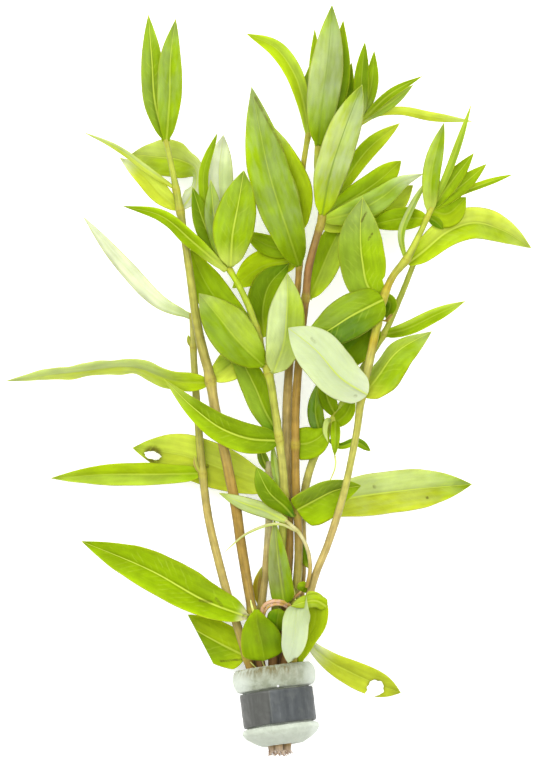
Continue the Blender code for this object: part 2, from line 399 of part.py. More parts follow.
def leaf_rings(leaf, at):
    """Rings of four points about the rib: left rim, underside, right rim and upper side."""
    middle = spline(leaf.rib, at)
    _, right, up = directions(leaf.rib, at)
    roll = np.radians(middle[:, 3:4])
    side = np.cos(roll) * right + np.sin(roll) * up
    face = np.cos(roll) * up - np.sin(roll) * right
    half = half_width(leaf, at)[:, None]
    rise = half * math.sin(math.radians(leaf.fold)) * face
    reach = half * math.cos(math.radians(leaf.fold)) * side
    thick = (LEAF_THICKNESS + (TIP_THICKNESS - LEAF_THICKNESS) * at)[:, None] / 2
    centre = middle[:, :3]
    rings = [centre - reach + rise, centre - thick * face, centre + reach + rise, centre + thick * face]
    return np.stack(rings, axis=1)


def clear_start(leaf):
    """How far along its rib a leaf begins, so that it keeps its gap to the stem it grows from."""
    stem = spline(STEMS[leaf.stem], np.linspace(0, 1, STEM_SAMPLES))
    tries = np.linspace(0, FOOT_REACH, FOOT_TRIES)
    rings = leaf_rings(leaf, tries)
    away = np.linalg.norm(rings[:, :, None] - stem[None, None, :, :3], axis=3) - stem[:, 3]
    near = np.nonzero(away.min(axis=(1, 2)) < LEAF_GAP)[0]
    return tries[min(near[-1] + 1, len(tries) - 1)] if len(near) else 0.0


def new_object(name, bm):
    """An object of the mesh, with faces pointing out and sizes in metres."""
    bmesh.ops.recalc_face_normals(bm, faces=bm.faces)
    bmesh.ops.scale(bm, vec=(MM, MM, MM), verts=bm.verts)
    mesh = bpy.data.meshes.new(name)
    bm.to_mesh(mesh)
    bm.free()
    shape = bpy.data.objects.new(name, mesh)
    bpy.context.scene.collection.objects.link(shape)
    return shape


def loft(name, rings, tip=None):
    """A closed body over rings of equal counts, with flat ends or a pointed one."""
    bm = bmesh.new()
    loops = [[bm.verts.new(point) for point in ring] for ring in rings]
    sides = len(loops[0])
    for lower, upper in zip(loops, loops[1:]):
        for i in range(sides):
            j = (i + 1) % sides
            bm.faces.new((lower[i], lower[j], upper[j], upper[i]))
    bm.faces.new(loops[0])
    if tip is None:
        bm.faces.new(loops[-1])
    else:
        point = bm.verts.new(tip)
        for i in range(sides):
            bm.faces.new((loops[-1][i], loops[-1][(i + 1) % sides], point))
    bmesh.ops.triangulate(bm, faces=[face for face in bm.faces if len(face.verts) > 3])
    return new_object(name, bm)


def combine(body, other, operation):
    """Join a second object to the first, or cut it out, and remove the second."""
    modifier = body.modifiers.new(operation, "BOOLEAN")
    modifier.operation = operation
    modifier.object = other
    graph = bpy.context.evaluated_depsgraph_get()
    result = bpy.data.meshes.new_from_object(body.evaluated_get(graph))
    body.modifiers.clear()
    old = body.data
    body.data = result
    bpy.data.meshes.remove(old)
    result.name = body.name
    bpy.data.meshes.remove(other.data)


def blade(name, leaf, stations, start=0.0):
    """A leaf's thin closed body, from a fraction of the way along its rib to its tip."""
    at = start + (1 - start) * np.arange(stations) / stations
    return loft(name, leaf_rings(leaf, at), spline(leaf.rib, 1.0)[0, :3])


def prism(ring):
    """An upright cutter through every blade, over a ring of x and y."""
    ring = np.column_stack([ring, np.zeros(len(ring))])
    return loft("cutter", [ring + [0, 0, CUTTER_BOTTOM], ring + [0, 0, CUTTER_TOP]])


def oval(x, y, first, second, turn):
    """Points round an oval with two radii, the first of them turned from +X."""
    angles = np.arange(BITE_SIDES) * math.tau / BITE_SIDES
    turn = math.radians(turn)
    across, along = first * np.cos(angles), second * np.sin(angles)
    return np.stack([
        x + across * math.cos(turn) - along * math.sin(turn),
        y + across * math.sin(turn) + along * math.cos(turn),
    ], axis=1)


def collar_point(along, across, up):
    """A point given along the collar's axis, across it and above it."""
    turn = math.radians(COLLAR_TURN)
    return np.array([
        across * math.cos(turn) - along * math.sin(turn),
        across * math.sin(turn) + along * math.cos(turn) + COLLAR_SKEW * up,
        AXIS_HEIGHT + up,
    ])


def make_foam():
    """A roll of soft foam, waisted by the strip and flattened where it lies, round an oval bore."""
    bm = bmesh.new()
    angles = np.arange(COLLAR_SIDES) * math.tau / COLLAR_SIDES
    loops = []
    for along, radius in FOAM_OUTSIDE:
        under_strip = radius < STRIP_RADIUS - STRIP_THICKNESS and abs(along) < STRIP_WIDTH
        floor = STRIP_THICKNESS + GAP + FOAM_FLOOR if under_strip else FOAM_FLOOR
        ring = [collar_point(along, radius * math.cos(a), radius * math.sin(a)) for a in angles]
        loops.append([bm.verts.new((x, y, max(z, floor))) for x, y, z in ring])
    for along, half, height, lift in reversed(FOAM_BORE):
        ring = [collar_point(along, half * math.cos(a), lift + height * math.sin(a)) for a in angles]
        loops.append([bm.verts.new(point) for point in ring])
    for lower, upper in zip(loops, loops[1:] + loops[:1]):
        for i in range(COLLAR_SIDES):
            j = (i + 1) % COLLAR_SIDES
            bm.faces.new((lower[i], lower[j], upper[j], upper[i]))
    bmesh.ops.triangulate(bm, faces=bm.faces)
    return new_object("foam_wrap", bm)


def make_strip():
    """A flat lead strip wound once round the foam, whose outer end laps over the inner one."""
    turns = math.radians(360 + STRIP_OVERLAP)
    lap = math.radians(STRIP_OVERLAP)
    rings = []
    for angle in np.linspace(0, turns, STRIP_STATIONS):
        outward = max(0.0, (angle - math.tau + lap) / lap)
        lift = (STRIP_THICKNESS + GAP) * min(1.0, outward)
        heading = angle + math.radians(STRIP_START)
        corners = []
        for radius, edge in ((STRIP_RADIUS, -0.5), (STRIP_RADIUS, 0.5),
                             (STRIP_RADIUS - STRIP_THICKNESS, 0.5), (STRIP_RADIUS - STRIP_THICKNESS, -0.5)):
            reach = radius + lift
            x, y, z = collar_point(edge * STRIP_WIDTH, reach * math.cos(heading), reach * math.sin(heading))
            floor = 0.0 if radius == STRIP_RADIUS else STRIP_THICKNESS
            corners.append((x, y, max(z, floor)))
        rings.append(corners)
    return loft("lead_strip", rings)


def make_stem(name):
    """A tapered eight-sided stalk with its small leaves joined to it."""
    route = STEMS[name]
    at = np.linspace(0, 1, len(route) + STEM_EXTRA_RINGS)
    middle = spline(route, at)
    _, right, up = directions(route, at)
    rings = []
    for i in range(STEM_SIDES):
        angle = i * math.tau / STEM_SIDES
        rings.append(middle[:, :3] + middle[:, 3:4] * (math.cos(angle) * right + math.sin(angle) * up))
    stalk = loft(name, np.stack(rings, axis=1))
    for twig in TWIGS.get(name, []):
        combine(stalk, blade("twig", twig, TWIG_STATIONS), "UNION")
    return stalk


def make_leaf(name):
    """A leaf of its own, just clear of its stem, without what has been eaten or broken off."""
    leaf = LEAVES[name]
    stations = max(LEAF_STATIONS, STATIONS_A_POINT * len(leaf.rib))
    shape = blade(name, leaf, stations, clear_start(leaf))
    for hole in BITES.get(name, []):
        combine(shape, prism(oval(*hole)), "DIFFERENCE")
    if name in BREAKS:
        combine(shape, prism(BREAKS[name]), "DIFFERENCE")
    return shape


def make_material(name, finish):
    """The piece's own material, in one of the finishes."""
    colour, roughness, metallic = FINISHES[finish]
    material = bpy.data.materials.new(name + " " + finish)
    material.use_nodes = True
    shader = material.node_tree.nodes["Principled BSDF"]
    shader.inputs["Base Color"].default_value = (*colour, 1.0)
    shader.inputs["Roughness"].default_value = roughness
    shader.inputs["Metallic"].default_value = metallic
    material.diffuse_color = (*colour, 1.0)
    return material


def settle(piece, finish, base, bunch):
    """Give a piece its material, round shading and parent, and its origin at its base."""
    base = np.array(base) * MM
    mesh = piece.data
    for vertex in mesh.vertices:
        vertex.co = [here - there for here, there in zip(vertex.co, base)]
    piece.location = base
    piece.parent = bunch
    mesh.materials.clear()
    mesh.materials.append(make_material(piece.name, finish))
    mesh.shade_smooth()
    mesh.set_sharp_from_angle(angle=math.radians(SMOOTH_BELOW))


def leaf_finish(name):
    """Which of the leaf finishes a leaf has."""
    if name in PALE_LEAVES:
        return "pale leaf"
    return "dark leaf" if name in DARK_LEAVES else "green leaf"


def main():
    """Make every piece of the bunch."""
    for old in list(bpy.data.objects):
        bpy.data.objects.remove(old)
    bunch = bpy.data.objects.new("bunch", None)
    bpy.context.scene.collection.objects.link(bunch)
    settle(make_foam(), "foam", (0, 0, AXIS_HEIGHT), bunch)
    settle(make_strip(), "lead", (0, 0, AXIS_HEIGHT), bunch)
    for name, route in STEMS.items():
        finish = "green stem" if name in GREEN_STEMS else "brown stem"
        settle(make_stem(name), finish, route[0][:3], bunch)
    for name, leaf in LEAVES.items():
        settle(make_leaf(name), leaf_finish(name), leaf.rib[0][:3], bunch)


if __name__ == "__main__":
    main()
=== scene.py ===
"""A bunch of nesaea lying on its side: the leaves, stems, foam wrap and lead strip in full finish.

Each kind of piece is a class that holds its sizes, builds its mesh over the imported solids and
dresses it. Lengths are millimetres and angles degrees until a mesh is made of them in metres.
+Y runs from the cut ends to the leaf tips, +X to the right and +Z up off the surface.
"""

import logging
import math
from dataclasses import dataclass, field
from enum import Enum
from functools import reduce
from typing import NamedTuple

import bmesh
import bpy
import numpy as np
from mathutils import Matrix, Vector, noise
from mathutils.kdtree import KDTree


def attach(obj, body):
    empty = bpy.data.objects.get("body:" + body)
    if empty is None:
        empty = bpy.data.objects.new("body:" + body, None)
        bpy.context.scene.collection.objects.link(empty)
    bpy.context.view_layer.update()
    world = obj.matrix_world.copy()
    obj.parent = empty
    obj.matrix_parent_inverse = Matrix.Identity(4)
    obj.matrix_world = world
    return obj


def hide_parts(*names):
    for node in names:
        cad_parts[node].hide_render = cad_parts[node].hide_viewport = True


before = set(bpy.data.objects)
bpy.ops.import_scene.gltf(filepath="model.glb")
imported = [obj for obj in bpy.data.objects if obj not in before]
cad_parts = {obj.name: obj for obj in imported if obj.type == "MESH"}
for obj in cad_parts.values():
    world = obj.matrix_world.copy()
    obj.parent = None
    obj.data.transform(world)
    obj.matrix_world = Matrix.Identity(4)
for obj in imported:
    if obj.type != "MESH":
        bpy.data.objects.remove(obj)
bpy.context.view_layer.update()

MM = 0.001
BODY = "root"
LEAF_SEED = 7
YOUNG_SEED = 107
TORN_SEED = 207
WHITE = (1.0, 1.0, 1.0, 1.0)

log = logging.getLogger("bunch")

Route = list[tuple[float, ...]]
Colour = tuple[float, float, float]


def linear(colour: Colour) -> Colour:
    """Turn a display colour of 0 to 255 into linear light.

    Args:
        colour: its red, green and blue.

    Returns:
        The three linear values, 0 to 1.
    """
    parts = (value / 255 for value in colour)
    return tuple(part / 12.92 if part <= 0.04045 else ((part + 0.055) / 1.055) ** 2.4 for part in parts)


def rgba(colour: Colour, key: float = 1.0) -> tuple[float, ...]:
    """A display colour as a shader's colour, dimmed to a key."""
    return (*(value * key for value in linear(colour)), 1.0)


class Tone(Enum):
    """The plant's colours, as display values."""

    SHADE = (84, 134, 4)
    MOSS = (102, 142, 6)
    DEEP = (120, 152, 8)
    LEAF = (142, 173, 10)
    FRESH = (157, 189, 12)
    BRIGHT = (177, 203, 20)
    SAGE = (150, 180, 44)
    GREY = (174, 199, 56)
    WAX = (194, 212, 86)
    VIVID = (194, 222, 18)
    YELLOW = (197, 210, 54)
    LEMON = (214, 230, 76)
    # SILVER is a painted silvery sheen, a reflection, used as a leaf tone
    SILVER = (184, 204, 106)
    MIST = (162, 182, 98)
    DUSK = (142, 156, 70)
    PALE = (206, 224, 124)
    MILK = (214, 231, 156)
    ASH = (236, 244, 202)
    MINT = (226, 236, 216)
    TAN = (192, 172, 92)
    BROWN = (166, 140, 68)
    PINK = (176, 142, 60)
    SAND = (206, 184, 110)
    ROSE = (190, 152, 122)
    PITH = (186, 166, 144)
    RUST = (152, 110, 60)
    UMBER = (132, 108, 88)
    AMBER = (184, 164, 40)
    STRAW = (200, 196, 96)
    LIME = (182, 192, 66)
    OLIVE = (182, 180, 76)
    CREAM = (222, 216, 160)
    ROT = (96, 88, 28)


def lights(names: str) -> np.ndarray:
    """The tones of these names in linear light, one row each."""
    return np.array([linear(Tone[name].value) for name in names.split()])


class Mark(NamedTuple):
    """A blotch on a leaf at x and y, or a crack that runs on from there, with a radius and a depth."""

    x: float
    y: float
    radius: float
    run_x: float = 0.0
    run_y: float = 0.0
    depth: float = 1.0


@dataclass(frozen=True)
class Tint:
    """How one leaf is coloured.

    tones names the left of the midrib, its right, the heel and the tip; beside the leaf's own
    colours they hold the light and shade painted on each half of a folded blade. sheen is how much
    painted silvery sheen, a painted reflection, the leaf has, rib how clearly the midrib shows, with
    a painted shade line in its crease below nought, and each rim light is a painted shade towards
    the margin below nought and a painted glow above it. The heel's tone fades out at heel_end and
    the tip's fades in from tip_start, and the two sides meet at seam, which is -1 to 1 across the
    blade.
    """

    tones: str
    sheen: float = 0.0
    rib: float = 0.3
    left_rim_light: float = 0.0
    right_rim_light: float = 0.0
    heel_end: float = 0.3
    tip_start: float = 0.66
    seam: float = 0.0


@dataclass(frozen=True)
class Blade:
    """The shape of a leaf along its midrib, whose points are x, y, z and, where it turns, its roll.

    fold is how far its halves fold up towards each other, base the share of the width that it has at
    its foot, belly how far along it is widest, and blunt how full it stays towards the tip.
    """

    width: float
    fold: float
    rib: Route
    base: float = 0.35
    belly: float = 0.42
    blunt: float = 1.25

    def half_width(self, at: np.ndarray) -> np.ndarray:
        """Half of the width, from a narrow base over the belly to a sharp tip.

        Args:
            at: fractions of the way along the midrib.

        Returns:
            The half widths in millimetres.
        """
        rise = self.base + (1 - self.base) * np.sin(np.clip(at / self.belly, 0, 1) * math.pi / 2)
        fall = np.clip((at - self.belly) / (1 - self.belly), 0, 1)
        return self.width / 2 * rise * np.cos(fall**self.blunt * math.pi / 2)


# How far each ring of the foam's outside lies along the collar's axis, and its radius
FOAM_OUTSIDE: Route = [
    (-11.3, 6.3), (-10.2, 8.3), (-8.6, 10.6), (-6.9, 11.7), (-5.7, 11.2), (-5.4, 9.9), (5.4, 9.9),
    (5.8, 11.6), (7.4, 12.3), (9.6, 12.5), (11.4, 12.1), (12.4, 11.3),
]
# The same places for the bore, with its half width, its half height and its lift off the axis
FOAM_BORE: Route = [(-11.3, 4.9, 3.7, 1.7), (-3, 8.6, 5, 1.6), (12.4, 10.1, 5.9, 1.7)]
# Each stem's axis from the cut end up: x, y, z and radius
STEMS: dict[str, Route] = {
    "stem_a": [
        (-5.9, -1.2, 13.6, 1.25), (-8.4, 12, 13.9, 1.35), (-11.4, 22, 14.2, 1.35), (-14.6, 32, 14, 1.3),
        (-17.6, 43, 13.5, 1.3), (-20.9, 57, 13, 1.25), (-22.9, 73, 12.5, 1.2), (-24.3, 90, 12, 1.15),
        (-25.2, 103, 11.5, 1.05), (-25.8, 118.5, 11, 0.8)],
    "stem_b": [
        (-1.6, -12.9, 12.2, 1.25), (-3.2, 0, 13.8, 1.4), (-5, 12, 13.9, 1.45), (-6.4, 20, 14.4, 1.45),
        (-7.9, 30, 15.3, 1.45), (-9.6, 40, 16.3, 1.5), (-11.2, 50, 17.4, 1.55), (-12.6, 60, 18.4, 1.6),
        (-14.6, 70, 19.2, 1.55), (-16.7, 80, 20, 1.5), (-18.9, 90, 20.8, 1.5), (-20.6, 100, 21.4, 1.5),
        (-23.2, 110, 22, 1.45), (-25, 120, 22.4, 1.3), (-26.4, 130, 22.8, 1.2), (-27.9, 140, 23, 1.1),
        (-29.3, 149, 23.2, 1.2), (-31.4, 160, 23.3, 0.9), (-33.6, 170.5, 23.3, 0.75)],
    "stem_c": [
        (-4.3, -2, 10.9, 1.2), (-6.7, 12, 10.7, 1.3), (-5.6, 22, 10.9, 1.3), (-4.7, 33, 11.3, 1.25),
        (-3.6, 42, 11.8, 1.2), (-2.9, 52, 12.3, 1.15), (-2.5, 62, 12.8, 1.15), (-2.7, 74, 13, 1)],
    "stem_d": [
        (0.4, -13.1, 14.3, 1.25), (0, 0, 13.9, 1.35), (-1.6, 12, 13.9, 1.4), (-1.3, 20, 14.4, 1.4),
        (-0.6, 30, 15.3, 1.4), (0.3, 40, 16.4, 1.35), (1.2, 50, 17.5, 1.3), (1.8, 60, 18.8, 1.3),
        (1.6, 70, 20.5, 1.3), (0.4, 80, 22.5, 1.25), (-1, 90, 24.5, 1.2), (-2.6, 99.5, 26.2, 1.25),
        (-4.6, 106, 26.9, 1.1), (-6, 112, 27.2, 1.05), (-8.6, 120, 27.4, 1), (-11.4, 126, 27.4, 0.95),
        (-14.8, 132, 27.3, 0.9)],
    "stem_e": [
        (0.8, -3, 10.7, 1.3), (0.1, 12, 10.7, 1.35), (1.2, 22, 11, 1.35), (2.4, 33, 12, 1.3),
        (3.3, 45, 13.2, 1.3), (3.4, 55, 14.2, 1.25), (2.9, 65, 15.2, 1.3), (2.6, 80, 16.5, 1.4),
        (2.7, 90, 17, 1.4), (3.2, 100, 17.2, 1.3), (4.4, 113, 16.8, 1.2), (6, 127, 16.3, 1),
        (6.6, 140, 16.3, 0.95), (6.9, 152, 17, 0.9), (7.5, 162, 18, 0.85), (9.2, 172.8, 19, 0.8)],
    "stem_f": [
        (2.6, -12.8, 12.2, 1.25), (3.3, 0, 13.8, 1.35), (1.8, 12, 13.9, 1.4), (3.6, 22, 14.5, 1.4),
        (5.2, 33, 15.2, 1.35), (6.2, 45, 16.2, 1.3), (6.1, 55, 17, 1.3), (5.4, 65, 17.8, 1.3),
        (5.2, 78, 19, 1.25), (5.3, 90, 20, 1.3), (6.1, 102, 21, 1.25), (7.3, 114, 21.8, 1.2),
        (8.3, 123, 22.2, 1.15), (9.2, 132, 22.6, 1.2), (11.2, 140, 23, 1.15), (13.2, 147, 23.3, 1.15),
        (12.8, 155, 23.6, 0.95), (11.6, 163, 24, 0.85), (12, 169, 24.3, 0.8)],
    "stem_g": [
        (4.9, -2, 10.9, 1.2), (3.5, 12, 10.7, 1.3), (5.6, 24, 11, 1.3), (6.9, 36, 11.6, 1.25),
        (7.4, 48, 12.3, 1.2), (7.2, 58, 13, 1.2), (8.4, 67, 13.8, 1.2), (10.8, 75, 14.6, 1.2),
        (14.4, 82, 15.4, 1.2), (18.2, 89, 16.2, 1.2), (23, 97.5, 17, 1.1), (27.6, 105.5, 17.3, 1),
        (32.2, 113, 17.4, 0.95), (36.6, 123, 17.4, 0.9), (41.4, 135, 17.4, 0.8)],
    "stem_h": [
        (5.9, -0.4, 13.6, 1.2), (5.2, 12.5, 13.9, 1.3), (7.4, 22, 16, 1.25), (9.3, 33, 19, 1.2),
        (11.6, 41, 21.3, 1.15), (14.3, 47.5, 23.2, 1.15), (17.2, 56, 25.6, 1.15), (19.8, 65, 27.9, 1.1),
        (22, 75, 30, 1.05), (23.7, 84, 31.6, 1.1), (25, 94, 33, 1.25), (27.3, 104, 33.8, 1.3),
        (29.2, 113, 34, 1.3), (31.2, 122, 33.8, 1.2), (34.4, 129.5, 33, 1.1), (38.4, 134.5, 32, 1.15),
        (42.3, 142, 31, 0.9), (46, 150, 30.3, 0.7)],
    "stem_i": [
        (14.8, 148.4, 21.6, 0.8), (17.6, 157, 20.4, 0.8), (21.2, 167, 19.4, 0.75), (25, 176.5, 19, 0.7)],
    "side_shoot": [
        (8.6, 36.2, 21.8, 0.6), (9.6, 41, 22.4, 0.6), (9, 47, 22.4, 0.6), (6.4, 52.5, 21.8, 0.55),
        (2.2, 56.4, 21.6, 0.5)],
}
# Each stem's tones, from a height y up
STEM_TONES: dict[str, dict[float, str]] = {
    "stem_a": {0: "RUST", 14: "PINK", 24: "TAN", 60: "TAN", 80: "OLIVE", 110: "STRAW"},
    "stem_b": {-13: "PITH", -10: "PINK", 12: "RUST", 22: "BROWN", 64: "PINK", 90: "TAN", 120: "OLIVE",
        146: "OLIVE", 154: "LIME"},
    "stem_c": {0: "RUST", 30: "TAN", 44: "SAND", 60: "CREAM"},
    "stem_d": {-13: "PITH", -10: "PINK", 16: "RUST", 26: "BROWN", 34: "SAGE", 60: "OLIVE", 76: "STRAW",
        100: "LIME", 112: "LIME", 128: "BRIGHT"},
    "stem_e": {0: "RUST", 34: "BROWN", 50: "PINK", 80: "SAND", 110: "PINK", 150: "PINK", 158: "AMBER",
        173: "LIME"},
    "stem_f": {-13: "PITH", -10: "PINK", 16: "RUST", 30: "OLIVE", 52: "BROWN", 66: "PINK", 110: "PINK",
        132: "RUST", 146: "BROWN", 156: "LIME"},
    "stem_g": {0: "RUST", 40: "BROWN", 56: "TAN", 72: "STRAW", 84: "GREY", 102: "LIME"},
    "stem_h": {0: "RUST", 20: "TAN", 38: "SAND", 54: "SAND", 66: "STRAW", 90: "OLIVE", 104: "STRAW",
        110: "AMBER", 116: "LIME", 126: "AMBER", 134: "LIME", 146: "YELLOW"},
    "stem_i": {148: "BRIGHT", 165: "YELLOW"},
    "side_shoot": {36: "PINK", 42: "TAN", 52: "CREAM", 58: "CREAM"},
}
